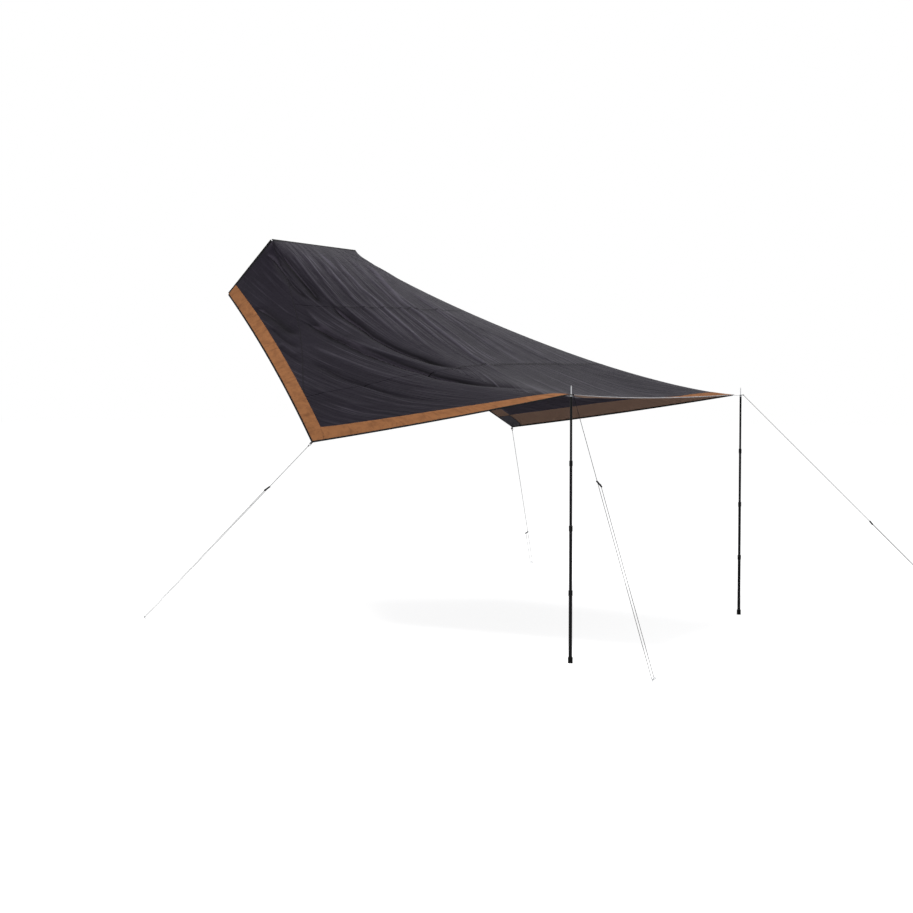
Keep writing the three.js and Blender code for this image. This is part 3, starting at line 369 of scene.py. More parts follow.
# Grid of points as a mesh with its map: a ringed grid closes round, a capped one is shut at its ends
def gridMesh(name, grid, u, v, ringed=False, capped=False):
    rows, columns = grid.shape[:2]
    index = np.arange(rows * columns).reshape(rows, columns)
    if ringed:
        index = np.concatenate([index, index[:, :1]], axis=1)

    def quads(values):
        corners = [values[:-1, :-1], values[:-1, 1:], values[1:, 1:], values[1:, :-1]]
        return np.stack(corners, axis=-1).reshape(-1, 4)

    faces = quads(index).tolist()
    places = [np.stack([quads(u), quads(v)], axis=-1).reshape(-1, 2)]
    if capped:
        for end, ring in ((0, index[0, :columns][::-1]), (-1, index[-1, :columns])):
            faces.append(ring.tolist())
            places.append(np.full((columns, 2), (u[end, 0], v[end, 0])))
    mesh = bpy.data.meshes.new(name)
    mesh.from_pydata(grid.reshape(-1, 3).tolist(), [], faces)
    layer = mesh.uv_layers.new(name="weave")
    layer.data.foreach_set("uv", np.concatenate(places).astype(np.float32).ravel())
    return mesh


# Closed mesh whose faces are turned outwards
def turnedOut(mesh):
    work = bmesh.new()
    work.from_mesh(mesh)
    bmesh.ops.recalc_face_normals(work, faces=work.faces)
    work.to_mesh(mesh)
    work.free()
    return mesh


def lengths(points):
    return np.concatenate([[0.0], np.cumsum(np.linalg.norm(np.diff(points, axis=0), axis=1))])


def unit(vectors):
    return vectors / np.linalg.norm(vectors, axis=-1, keepdims=True)


# Round cord mesh along a path, its map running round the cord and along it
def cordMesh(name, path, radius, sides):
    points = np.array(path)
    heading = unit(np.gradient(points, axis=0))
    side = np.zeros_like(points)
    side[0] = Vector(heading[0]).orthogonal().normalized()
    for i in range(1, len(points)):
        carried = side[i - 1] - heading[i] * np.dot(side[i - 1], heading[i])
        side[i] = carried / np.linalg.norm(carried)
    other = np.cross(heading, side)
    turn = np.linspace(0, 2 * math.pi, sides + 1)[:-1]
    rings = points[:, None] + radius * (
        np.cos(turn)[None, :, None] * side[:, None] + np.sin(turn)[None, :, None] * other[:, None])
    u = np.tile(np.linspace(0, 1, sides + 1), (len(points), 1))
    v = np.tile(lengths(points)[:, None], (1, sides + 1))
    return gridMesh(name, rings, u, v, ringed=True, capped=True)


# Guy ropes: the side and corner each hangs from, its peg's place, and how far down the line its adjuster sits

ground = -3.654
guys = {
    "near_pole": {"side": -1, "corner": "pole", "pegAt": (4.830, -1.845), "adjusterAt": 0.32},
    "far_pole": {"side": 1, "corner": "pole", "pegAt": (5.796, 2.679), "adjusterAt": 0.58},
    "near_wing": {"side": -1, "corner": "wing", "pegAt": (-0.427, -1.957), "adjusterAt": 0.23},
    "far_wing": {"side": 1, "corner": "wing", "pegAt": (0.213, 3.853), "adjusterAt": 0.74},
}
rope = {
    "radius": 0.002, "sides": 10, "knotReach": 0.017, "tailReach": 0.0045, "gap": 0.0003, "aims": 8,
    "poleEye": (0.0086, 0.0086), "poleEyeRise": 0.01417, "wingEye": (0.009, 0.013),
    "loopReach": 0.022, "loopDrop": 0.00585, "eyeSteps": 20, "bendSteps": 14, "runSteps": 120,
}
knot = {
    "strand": 0.0017, "coil": 0.0030, "eyeTurns": 3.5, "tailTurns": 2.2, "pitch": 0.0034, "steps": 16,
    "sides": 8,
}
peg = {
    "radius": 0.0035, "buried": 0.175, "proud": 0.042, "point": 0.018, "tip": 0.0012, "lean": 30,
    "ropeHeight": 0.022, "hookRadius": 0.009, "hookTurn": 200, "hookSteps": 18, "shaftSteps": 24, "sides": 16,
}
adjuster = {
    "length": 0.068, "width": 0.014, "thick": 0.006, "pitch": 0.044, "slant": 35, "bore": 0.0027,
    "bevel": 0.0009, "bevelSteps": 3, "endSteps": 12, "boreSides": 24,
}
upward = np.array([0.0, 0.0, 1.0])
level = np.array([1.0, 1.0, 0.0])


# Centre, heading, sideways direction and half sizes of the eye at a rope's upper end
def ropeEye(guy, spot):
    side = guy["side"]
    if guy["corner"] == "pole":
        top = np.array([net["poleRun"][side], side * net["poleHalf"], -net["poleTopDrop"]])
        centre = top + upward * rope["poleEyeRise"]
        heading = unit((spot - centre) * level)
        return centre, heading, np.cross(upward, heading), rope["poleEye"]
    corner = frontCorners[0 if side < 0 else 3]
    normal = slopes(np.array([2.0 * side]), np.array([1.0]))[2][0]
    pull = unit(spot - corner - normal * ((spot - corner) @ normal))
    loop = corner + pull * rope["loopReach"] - normal * rope["loopDrop"]
    heading = unit(spot - loop)
    return loop + heading * rope["wingEye"][0], heading, np.cross(normal, pull), rope["wingEye"]


# Course of one rope: down from its eye to the peg, round it and back up to the adjuster
def ropeCourse(guy):
    spot = np.array([*guy["pegAt"], ground])
    eye, heading, sideways, size = ropeEye(guy, spot)
    start = eye + heading * (size[0] + rope["knotReach"])
    outward = unit((spot - start) * level)
    lean, slant = math.radians(peg["lean"]), math.radians(adjuster["slant"])
    axis = outward * math.sin(lean) + upward * math.cos(lean)
    shaft = spot + axis * peg["ropeHeight"] / math.cos(lean)
    bend = adjuster["pitch"] * math.sin(slant) / 2
    turn, across = shaft, np.zeros(3)
    for aim in range(rope["aims"]):
        along = unit(turn - across * bend - start)
        across = unit(np.cross(upward, along))
        section = peg["radius"] / abs(axis @ np.cross(along, across))
        turn = shaft + along * (section + rope["gap"] + rope["radius"] - bend)
    tilt = along * math.cos(slant) + across * math.sin(slant)
    upper = start + along * guy["adjusterAt"] * np.linalg.norm(turn - start)
    lower = upper + tilt * adjuster["pitch"]
    standOff = (adjuster["thick"] / 2 + rope["tailReach"] + rope["gap"]) / math.sin(slant)
    return {
        "eye": eye, "heading": heading, "sideways": sideways, "size": size, "start": start, "bend": bend,
        "turn": turn, "along": along, "across": across, "tail": lower - along * standOff, "tilt": tilt,
        "slider": (upper + lower) / 2, "peg": spot, "axis": axis,
        "hook": outward * math.cos(lean) - upward * math.sin(lean),
    }


def straight(start, end, steps):
    share = np.linspace(0, 1, steps + 1)[:, None]
    return np.array(start) * (1 - share) + np.array(end) * share


def ropePath(course):
    start, (long, wide), radius = course["start"], course["size"], course["bend"]
    opening = math.acos(long / (long + rope["knotReach"]))
    angle = np.linspace(opening, 2 * math.pi - opening, rope["eyeSteps"])[:, None]
    loop = course["eye"] + course["heading"] * long * np.cos(angle) + course["sideways"] * wide * np.sin(angle)
    half = np.linspace(0, math.pi, rope["bendSteps"])[:, None]
    bend = course["turn"] - course["across"] * radius * np.cos(half) + course["along"] * radius * np.sin(half)
    down = straight(start, bend[0], rope["runSteps"])
    back = straight(bend[-1], course["tail"], rope["runSteps"] // 2)
    return np.concatenate([[start], loop, down, bend[1:], back[1:]])


# Wraps of a knot round a line, as one coiled strand
def wraps(name, centre, heading, turns, body):
    axis = Vector(heading).normalized()
    side = axis.orthogonal().normalized()
    other = axis.cross(side)
    steps = int(turns * knot["steps"])
    path = []
    for i in range(steps + 1):
        angle = 2 * math.pi * turns * i / steps
        reach = (i / steps - 0.5) * turns * knot["pitch"]
        point = Vector(centre) + axis * reach
        path.append(tuple(point + knot["coil"] * (math.cos(angle) * side + math.sin(angle) * other)))
    return linked(name, cordMesh(name, path, knot["strand"], knot["sides"]), body, "rope")


# Flat bar with a slanted bore near each end
def adjusterMesh(name, course):
    work = bmesh.new()
    half = adjuster["length"] / 2 - adjuster["width"] / 2
    radius = adjuster["width"] / 2
    outline = []
    for side in (1, -1):
        for step in range(adjuster["endSteps"] + 1):
            angle = math.radians(-90 + 180 * step / adjuster["endSteps"])
            outline.append((side * (half + radius * math.cos(angle)), side * radius * math.sin(angle)))
    corners = [work.verts.new((x, y, -adjuster["thick"] / 2)) for x, y in outline]
    base = work.faces.new(corners)
    raised = bmesh.ops.extrude_face_region(work, geom=[base])
    lifted = [item for item in raised["geom"] if isinstance(item, bmesh.types.BMVert)]
    bmesh.ops.translate(work, verts=lifted, vec=(0, 0, adjuster["thick"]))
    bmesh.ops.recalc_face_normals(work, faces=work.faces)
    rim = [edge for edge in work.edges if abs(edge.verts[0].co.z - edge.verts[1].co.z) < 1e-6]
    bmesh.ops.bevel(work, geom=rim, offset=adjuster["bevel"], segments=adjuster["bevelSteps"], profile=0.5,
                    affect="EDGES", material=-1, clamp_overlap=True)
    mesh = bpy.data.meshes.new(name)
    work.to_mesh(mesh)
    work.free()
    bar = bpy.data.objects.new(name, mesh)
    bpy.context.scene.collection.objects.link(bar)
    cutters = []
    for side in (-1, 1):
        cut = bmesh.new()
        bmesh.ops.create_cone(cut, cap_ends=True, segments=adjuster["boreSides"], radius1=adjuster["bore"],
                              radius2=adjuster["bore"], depth=adjuster["length"])
        slant = math.radians(adjuster["slant"])
        swing = Vector((0, 0, 1)).rotation_difference(Vector((math.cos(slant), 0, math.sin(slant)))).to_matrix()
        bmesh.ops.rotate(cut, verts=cut.verts, matrix=swing)
        bmesh.ops.translate(cut, verts=cut.verts, vec=(side * adjuster["pitch"] / 2, 0, 0))
        cutMesh = bpy.data.meshes.new("bore")
        cut.to_mesh(cutMesh)
        cut.free()
        cutter = bpy.data.objects.new("bore", cutMesh)
        bpy.context.scene.collection.objects.link(cutter)
        cutters.append(cutter)
        bore = bar.modifiers.new("bore", "BOOLEAN")
        bore.operation = "DIFFERENCE"
        bore.solver = "EXACT"
        bore.object = cutter
    bpy.context.view_layer.update()
    final = bpy.data.meshes.new_from_object(bar.evaluated_get(bpy.context.evaluated_depsgraph_get()))
    for spent in [bar, *cutters]:
        bpy.data.objects.remove(spent)
    tilt, along, across = (Vector(course[key]) for key in ("tilt", "along", "across"))
    width = along.cross(across)
    basis = Matrix((tilt, width, tilt.cross(width))).transposed().to_4x4()
    final.transform(Matrix.Translation(Vector(course["slider"])) @ basis)
    final.name = name
    return final


def pegPath():
    low, high = -peg["buried"] + peg["point"], peg["proud"]
    count = peg["shaftSteps"]
    path = [(0, 0, -peg["buried"]), *[(0, 0, low + (high - low) * i / count) for i in range(count + 1)]]
    for i in range(1, peg["hookSteps"] + 1):
        angle = math.pi - math.radians(peg["hookTurn"]) * i / peg["hookSteps"]
        path.append((peg["hookRadius"] * (1 + math.cos(angle)), 0, high + peg["hookRadius"] * math.sin(angle)))
    return path


def pegMesh(name, course):
    mesh = cordMesh(name, pegPath(), peg["radius"], peg["sides"])
    for vertex in list(mesh.vertices)[:peg["sides"]]:  # the first ring draws in to a point
        reach = Vector((vertex.co.x, vertex.co.y, 0))
        vertex.co -= reach * (1 - peg["tip"] / peg["radius"])
    hook, axis = Vector(course["hook"]), Vector(course["axis"])
    basis = Matrix((hook, axis.cross(hook), axis)).transposed().to_4x4()
    mesh.transform(Matrix.Translation(Vector(course["peg"])) @ basis)
    return mesh


def sharpened(piece, degrees):
    piece.data.set_sharp_from_angle(angle=math.radians(degrees))
    return piece


def buildGuys():
    for name, course in courses.items():
        path, start = ropePath(course), course["start"]
        line = linked(name + "_line", cordMesh(name + "_line", path, rope["radius"], rope["sides"]),
                      "canopy", "rope", [name + "_rope"])
        eyeKnot = wraps(name + "_eyeKnot", start, course["heading"], knot["eyeTurns"], "canopy")
        tailKnot = wraps(name + "_tailKnot", course["tail"], course["along"], knot["tailTurns"], "canopy")
        bar = linked(name + "_adjusterBar", adjusterMesh(name + "_adjusterBar", course),
                     name + "_adjuster", "slider", [name + "_slider"])
        sharpened(bar, 35)
        stake = linked(name + "_groundPeg", pegMesh(name + "_groundPeg", course),
                       name + "_stake", "steel", [name + "_peg"])
        sharpened(stake, 50)


# Stretched sheet: the net that the cloth settles into

net = {
    "railHalf": 0.660, "cheekRun": 0.591, "cheekDrop": 0.508, "wingRun": 1.363, "wingHalf": 1.628,
    "wingDrop": {-1: 1.952, 1: 1.875}, "poleRun": {-1: 3.960, 1: 4.015}, "poleHalf": 1.548,
    "poleTopDrop": 1.554, "cornerReach": 0.062, "cornerRise": 0.017, "cornerTurn": 44, "frontDraw": 0.120,
    "frontSag": 0.030,
    "lowerSag": 0.012, "sideBow": 0.038, "tension": 2.0, "skew": 0.5, "columns": 192, "rows": 96,
    "sweeps": 700, "calmSweeps": 40, "relax": 1.93, "calmRelax": 1.0,
}


def cornersOfNet():
    half, run, drop = net["railHalf"], net["cheekRun"], net["cheekDrop"]
    rail = np.array([(-run, -half, -drop), (0, -half, 0), (0, half, 0), (-run, half, -drop)])
    turn = math.radians(net["cornerTurn"])
    front = []
    for side in (-1, 1):
        reach = net["cornerReach"]
        front.append((net["poleRun"][side] - reach * math.cos(turn),
                      side * (net["poleHalf"] - reach * math.sin(turn)),
                      net["cornerRise"] - net["poleTopDrop"]))
    wings = [(net["wingRun"], side * net["wingHalf"], -net["wingDrop"][side]) for side in (-1, 1)]
    return rail, np.array([wings[0], front[0], front[1], wings[1]])


railCorners, frontCorners = cornersOfNet()
cornerPlaces = np.array([-2.0, -1.0, 1.0, 2.0])


def betweenCorners(corners, across):
    return np.stack([np.interp(across, cornerPlaces, corners[:, axis]) for axis in range(3)], axis=-1)


def frontEdge(across):
    edge = betweenCorners(frontCorners, across)
    wing = np.clip(np.abs(across) - 1, 0, 1)
    edge[..., 2] -= 4 * wing * (1 - wing) * net["lowerSag"]
    bow = np.clip(1 - across * across, 0, 1)
    edge[..., 0] -= bow * net["frontDraw"]
    edge[..., 2] -= bow * net["frontSag"]
    return edge


def sideEdge(side, along):
    start, end, rail, front = (0, 0, 1, 1) if side < 0 else (3, 3, 2, 2)
    line = frontCorners[end] - railCorners[start]
    middle = (railCorners[start] + frontCorners[end]) / 2
    inward = (railCorners[rail] + frontCorners[front]) / 2 - middle
    inward = unit(inward - line * np.dot(inward, line) / np.dot(line, line))
    share = np.asarray(along)[..., None]
    return railCorners[start] + line * share + inward * 4 * share * (1 - share) * net["sideBow"]


def settledNet():
    columns, rows = net["columns"], net["rows"]
    across, along = np.linspace(-2, 2, columns + 1), np.linspace(0, 1, rows + 1)
    top, bottom = betweenCorners(railCorners, across), frontEdge(across)
    grid = top[:, None] * (1 - along)[None, :, None] + bottom[:, None] * along[None, :, None]
    grid[0], grid[-1] = sideEdge(-1, along), sideEdge(1, along)
    edges = np.arange(columns) + 0.5
    pull = net["tension"] * (columns / 4) ** 2 * (1 - net["skew"] * (2 * edges / columns - 1))
    left, right = pull[:-1, None, None], pull[1:, None, None]
    down = rows ** 2
    places = np.add.outer(np.arange(1, columns), np.arange(1, rows)) % 2
    for sweep in range(net["sweeps"]):
        for parity in (0, 1):
            around = left * grid[:-2, 1:-1] + right * grid[2:, 1:-1]
            around = around + down * (grid[1:-1, :-2] + grid[1:-1, 2:])
            change = around / (left + right + 2 * down) - grid[1:-1, 1:-1]
            calm = sweep >= net["sweeps"] - net["calmSweeps"]
            relax = net["calmRelax"] if calm else net["relax"]
            grid[1:-1, 1:-1] += relax * change * (places == parity)[..., None]
    return grid


netGrid = settledNet()


def padded(grid):
    grid = np.concatenate([2 * grid[:1] - grid[1:2], grid, 2 * grid[-1:] - grid[-2:-1]], axis=0)
    return np.concatenate([2 * grid[:, :1] - grid[:, 1:2], grid, 2 * grid[:, -1:] - grid[:, -2:-1]], axis=1)


# Length of the settled net across from its middle line and along from the rail
def clothLengths():
    acrossSteps = np.linalg.norm(np.diff(netGrid, axis=0), axis=-1)
    u = np.concatenate([np.zeros((1, netGrid.shape[1])), np.cumsum(acrossSteps, axis=0)])
    u -= u[net["columns"] // 2]
    alongSteps = np.linalg.norm(np.diff(netGrid, axis=1), axis=-1)
    v = np.concatenate([np.zeros((netGrid.shape[0], 1)), np.cumsum(alongSteps, axis=1)], axis=1)
    return np.stack([u, v], axis=-1)


paddedNet, paddedLengths = padded(netGrid), padded(clothLengths())


# Shares of four neighbours in the smooth curve between the middle two
def cubicWeights(f):
    return [-f / 2 + f ** 2 - f ** 3 / 2, 1 - 2.5 * f ** 2 + 1.5 * f ** 3,
            f / 2 + 2 * f ** 2 - 1.5 * f ** 3, -f ** 2 / 2 + f ** 3 / 2]


def sampled(grid, across, along):
    x = np.clip((across + 2) / 4, 0, 1) * net["columns"]
    y = np.clip(along, 0, 1) * net["rows"]
    i, j = np.minimum(x.astype(int), net["columns"] - 1), np.minimum(y.astype(int), net["rows"] - 1)

    total = 0.0
    for a, acrossWeight in enumerate(cubicWeights(x - i)):
        for b, alongWeight in enumerate(cubicWeights(y - j)):
            total = total + (acrossWeight * alongWeight)[..., None] * grid[i + a, j + b]
    return total


def film(across, along):
    return sampled(paddedNet, across, along)


def clothPlace(across, along):
    return sampled(paddedLengths, across, along)


slopeStep = {"across": 0.012, "along": 0.006}


def slopes(across, along):
    step = slopeStep["across"]
    low, high = np.clip(across - step, -2, 2), np.clip(across + step, -2, 2)
    sideways = (film(high, along) - film(low, along)) / (high - low)[..., None]
    step = slopeStep["along"]
    low, high = np.clip(along - step, 0, 1), np.clip(along + step, 0, 1)
    forward = (film(across, high) - film(across, low)) / (high - low)[..., None]
    return sideways, forward, unit(np.cross(forward, sideways))


def eased(value, low, high):
    share = np.clip((value - low) / (high - low), 0, 1)
    return share * share * (3 - 2 * share)


# Folds of the near half: height and width in metres, then points of the crest in the photograph, in pixels
folds = {
    "cornerLeft": (-0.024, 0.023, [
        (265.7, 253.6), (273.6, 261.4), (280, 270), (285, 275.7), (290.7, 284.3), (297.9, 291.4),
        (305, 297.1), (312, 303)]),
    "cornerRight": (-0.036, 0.027, [
        (279, 251), (282.1, 255.7), (287.9, 264.3), (296.4, 274.3), (305, 284.3), (312.1, 292.9),
        (318.6, 301.4), (324, 308)]),
    "hipValley": (-0.046, 0.022, [
        (327, 301), (337.9, 311.4), (347.9, 318.6), (360.7, 327.1), (372.1, 335.7), (382.1, 341.4),
        (396.4, 348.6), (410.7, 354.3), (422, 358), (433.3, 362), (446.7, 365.5), (460, 369), (478, 374)]),
    "wingValley": (-0.054, 0.025, [
        (299.3, 320), (310.7, 325.7), (323.6, 331.4), (333.6, 337.1), (343.6, 341.5), (360.7, 350),
        (376.4, 356), (389.3, 360.7), (406.4, 366.5), (422, 371), (438.3, 376.5), (460, 380.5),
        (480, 384.2), (506.7, 387), (530, 390), (546.7, 391.9)]),
    "goreDip": (-0.026, 0.036, [
        (253.6, 307.1), (267.9, 315.7), (277.9, 322.9), (286.4, 330), (296.4, 334.3), (304, 337)]),
    "goreDipLow": (-0.015, 0.020, [
        (269.3, 327.1), (280, 337.1), (290.7, 344.3), (302.1, 350)]),
    "goreDipEdge": (-0.012, 0.018, [
        (277, 346), (287, 354), (297, 361), (305, 366)]),
    "lowerValley": (-0.020, 0.018, [
        (306, 360.5), (315, 365), (325, 370), (339.3, 377.9), (349.3, 381.4), (365, 385.7), (380, 390.7),
        (396.4, 395.7), (410.7, 398.6), (425, 401.2), (446.7, 403.6)]),
    "wingRidge": (0.016, 0.018, [
        (302, 305), (316, 320), (326, 327), (338, 335), (360, 344), (385, 353), (410, 361), (430, 366)]),
    "wingSwell": (0.014, 0.040, [
        (306, 343), (325, 352.9), (343.6, 360), (360.7, 367), (382.1, 374.5), (403.6, 380.5), (425, 385.5),
        (450, 389)]),
    "lowerSwell": (0.012, 0.036, [
        (309.3, 384.3), (322.1, 391.4), (339.3, 398.6), (357.9, 405), (380, 409)]),
    "edgeRidge": (0.012, 0.016, [
        (280, 342.3), (290, 350), (299.3, 356.6)]),
    "fanFirst": (0.015, 0.017, [
        (284, 244.5), (291, 252), (299, 262), (310, 276), (322, 291), (334, 304), (350, 318)]),
    "fanFirstLow": (0.013, 0.016, [
        (297, 246.5), (306, 258), (318, 273), (330, 289), (342, 303), (356, 316), (372, 330)]),
    "fanSecond": (0.017, 0.017, [
        (309.6, 248), (320, 260), (333.6, 275.7), (343.6, 287.1), (353.6, 298.6), (360, 304), (370, 311.7),
        (380, 320), (391.7, 330), (405, 341), (415, 347)]),
    "fanSecondLow": (0.011, 0.015, [
        (318, 248.5), (331, 264), (345, 280), (358, 294), (372, 307), (388, 321), (402, 333), (418, 345),
        (432, 354)]),
    "fanThird": (0.020, 0.018, [
        (325, 249), (333.6, 258.6), (343.6, 270.7), (353.6, 280.7), (360.7, 288.6), (369.3, 295.7),
        (380, 304.3), (389.3, 313.5), (400, 322.5), (410.7, 331.5), (420, 340), (430, 348), (446.7, 357),
        (457, 362)]),
    "fanThirdLow": (0.011, 0.015, [
        (332, 249.5), (346, 264), (360, 279), (375, 293), (390, 306), (405, 319), (420, 332), (436, 344),
        (452, 355)]),
    "fanFourth": (0.019, 0.018, [
        (339.3, 250.5), (349.3, 260), (360.7, 271), (370.7, 280.5), (380, 289), (389.3, 298), (400, 308),
        (413.3, 319), (423.3, 326.7), (436.7, 337.5), (450, 347.5), (463.3, 356.5), (474, 363)]),
    "fanLong": (0.024, 0.020, [
        (353, 254.5), (359.3, 260.5), (367.9, 267.5), (380, 280), (388.3, 289.2), (400, 301), (409, 308),
        (420, 315), (430, 323.3), (446.7, 336), (460, 346), (473.3, 356), (487, 364), (500, 371.5),
        (513.3, 378), (526.7, 383.3), (540, 388), (556, 392.2)]),
    "fanBeside": (0.015, 0.016, [
        (362, 262), (372, 271), (386, 286), (398, 296), (412, 306), (428, 316), (446, 329), (462, 341),
        (478, 352), (492, 361)]),
    "fanFifth": (0.020, 0.018, [
        (400, 286), (410, 292), (420, 299), (430, 305.5), (440, 312), (450, 318.5), (460, 325),
        (471.7, 333), (483.3, 340.5), (496.7, 349), (510, 356.5), (520, 361)]),
    "fanFifthLow": (0.014, 0.016, [
        (440, 309.5), (460, 321.5), (475, 331), (490, 338.5), (503.3, 345.5), (520, 353.5), (532, 359.5)]),
    "middleLow": (0.010, 0.017, [
        (446.7, 313.3), (466.7, 322.5), (488.3, 331.5), (506.7, 339.5), (520, 345.5), (538.3, 353.5),
        (560, 361), (590, 370.5)]),
}
farFolds = {"share": 0.55, "shift": 0.05, "edge": 1.94, "widening": 1.3, "picked": (
    "cornerRight", "hipValley", "wingValley", "goreDip", "lowerValley", "wingSwell", "fanFirst", "fanFirstLow")}
# The lit and dark thresholds turn fold heights into the painted highlight and painted shade masks; the rest
# shape the folds
crest = {"litAt": 0.020, "litPower": 3, "shadeFullAt": 0.034, "shadePower": 1.2, "round": 0.0050, "fadeIn": 0.20,
         "fadeOut": 0.25, "narrowFrom": 0.66, "narrowing": 0.40}


# Lines that the fine wrinkles follow: places across the cloth at every tenth of the way down
flowLines = np.array([
    (-3.2, -3.0, -2.8, -2.6, -2.5, -2.4, -2.3, -2.2, -2.05, -1.95, -1.8),
    (-2.9, -2.7, -2.5, -2.35, -2.2, -2.05, -1.95, -1.84, -1.75, -1.62, -1.40),
    (-2.4, -2.25, -2.1, -1.98, -1.88, -1.79, -1.71, -1.64, -1.535, -1.42, -1.20),
    (-2.0, -1.88, -1.79, -1.72, -1.66, -1.61, -1.52, -1.44, -1.345, -1.20, -1.08),
    (-1.65, -1.62, -1.59, -1.545, -1.46, -1.385, -1.32, -1.25, -1.186, -1.06, -1.0),
    (-1.0, -1.04, -1.08, -1.10, -1.115, -1.12, -1.12, -1.07, -1.02, -0.99, -0.985),
    (-0.25, -0.47, -0.65, -0.78, -0.85, -0.91, -0.975, -0.985, -0.975, -0.965, -0.97),
    (0.50, 0.18, -0.10, -0.31, -0.48, -0.60, -0.70, -0.80, -0.87, -0.93, -0.96),
    (0.95, 0.75, 0.42, 0.14, -0.01, -0.15, -0.275, -0.40, -0.46, -0.60, -0.75),
    (1.3, 1.15, 0.95, 0.75, 0.55, 0.42, 0.34, 0.30, 0.28, 0.27, 0.26),
    (1.6, 1.5, 1.38, 1.25, 1.12, 1.02, 0.96, 0.92, 0.90, 0.90, 0.92),
    (2.1, 1.98, 1.88, 1.78, 1.68, 1.58, 1.48, 1.38, 1.27, 1.14, 1.02),
    (2.6, 2.45, 2.3, 2.15, 2.05, 1.95, 1.85, 1.72, 1.6, 1.45, 1.3),
    (3.2, 3.0, 2.8, 2.6, 2.45, 2.3, 2.2, 2.1, 2.0, 1.85, 1.7),
])
fan = {"from": 0.772, "apex": -0.58, "row": 3.1, "spread": 0.95, "count": 3.2, "hip": 1.06}


# Number of the flow line at each place, and the distance to the next one
def flowPlace(across, along):
    rows = np.linspace(0, 1, flowLines.shape[1])
    lines = [np.interp(along, rows, line) for line in flowLines]
    count, spacing = np.zeros_like(across), np.full_like(across, 0.5)
    for low, high in zip(lines[:-1], lines[1:]):
        count += np.clip((across - low) / (high - low), 0, 1)
        spacing = np.where((across >= low) & (across < high), high - low, spacing)
    flat = clothPlace(across, along)
    spreading = (flat[:, 0] - fan["apex"]) * np.exp(-fan["spread"] * (flat[:, 1] - fan["row"])) * fan["count"]
    front = (along > fan["from"]) & (np.abs(across) < fan["hip"])
    return np.where(front, spreading, count), np.where(front, 0.32, spacing)


# Pixels of points in the photograph
def inPhoto(points):
    ahead = np.array(cameraAim())
    right = unit(np.cross(ahead, [0.0, 0.0, 1.0]))
    offset = points - np.array(camera["place"])
    scale = camera["photoSide"] * camera["lens"] / camera["sensor"] / (offset @ ahead)
    middle = camera["photoSide"] / 2
    high = offset @ np.cross(right, ahead)
    return np.stack([middle + scale * (offset @ right), middle - scale * high], axis=-1)


search = {"across": (-2.0, 1.6, 361), "along": (0.0, 1.0, 201), "step": 1e-4, "rounds": 6}
searchAcross, searchAlong = (grid.ravel() for grid in np.meshgrid(
    np.linspace(*search["across"]), np.linspace(*search["along"]), indexing="ij"))
searchPixels = inPhoto(film(searchAcross, searchAlong))
searchSight = np.array(camera["place"]) - film(searchAcross, searchAlong)
searchPixels[(searchSight * slopes(searchAcross, searchAlong)[2]).sum(axis=1) <= 0] = np.inf


# Places on the settled cloth that the camera sees at these pixels
def onCloth(pixels):
    pixels, step = np.array(pixels), search["step"]
    nearest = [int(np.argmin(np.linalg.norm(searchPixels - pixel, axis=1))) for pixel in pixels]
    places = np.stack([searchAcross[nearest], searchAlong[nearest]], axis=-1)
    for turn in range(search["rounds"]):
        seen = inPhoto(film(*places.T))
        byAcross = (inPhoto(film(places[:, 0] + step, places[:, 1])) - seen) / step
        byAlong = (inPhoto(film(places[:, 0], places[:, 1] + step)) - seen) / step
        places += np.linalg.solve(np.stack([byAcross, byAlong], axis=-1), (pixels - seen)[..., None])[..., 0]
    return places


def allFolds():
    routes = {name: onCloth(pixels) for name, (height, width, pixels) in folds.items()}
    made = [(height, width, routes[name]) for name, (height, width, pixels) in folds.items()]
    for name in farFolds["picked"]:
        height, width, pixels = folds[name]
        across, along = routes[name].T
        mirrored = np.stack([np.minimum(farFolds["edge"], farFolds["shift"] - across), along], axis=-1)
        made.append((height * farFolds["share"], width * farFolds["widening"], mirrored))
    return made


# Smooth curve of across against along, with its slope
def routeCurve(route, along):
    fine = np.linspace(0, len(route) - 1, 12 * len(route))
    i = np.minimum(fine.astype(int), len(route) - 2)
    f = (fine - i)[:, None]
    ends = np.concatenate([2 * route[:1] - route[1:2], route, 2 * route[-1:] - route[-2:-1]])
    curve = sum(weight * ends[i + k] for k, weight in enumerate(cubicWeights(f)))
    place = np.interp(along, curve[:, 1], curve[:, 0])
    slope = np.interp(along, curve[:, 1], np.gradient(curve[:, 0]) / np.maximum(np.gradient(curve[:, 1]), 1e-4))
    return place, slope


# Distance of every point from a line of points
def toLine(points, line):
    best = np.full(len(points), np.inf)
    for k in range(len(line) - 1):
        step = line[k + 1] - line[k]
        foot = np.clip((points - line[k]) @ step / (step @ step), 0, 1)
        best = np.minimum(best, np.linalg.norm(points - line[k] - foot[:, None] * step, axis=1))
    return best


# Sum of waves whose fronts lie nearly along one heading, between -1 and 1
def waves(value, drift, spread, seed):
    draw = np.random.default_rng(seed)
    total = 0.0
    for k in range(5):
        total = total + np.sin(value * draw.uniform(0.75, 1.35) + drift * spread * draw.uniform(-1, 1)
                               + draw.uniform(0, 2 * math.pi))
    return total / 5


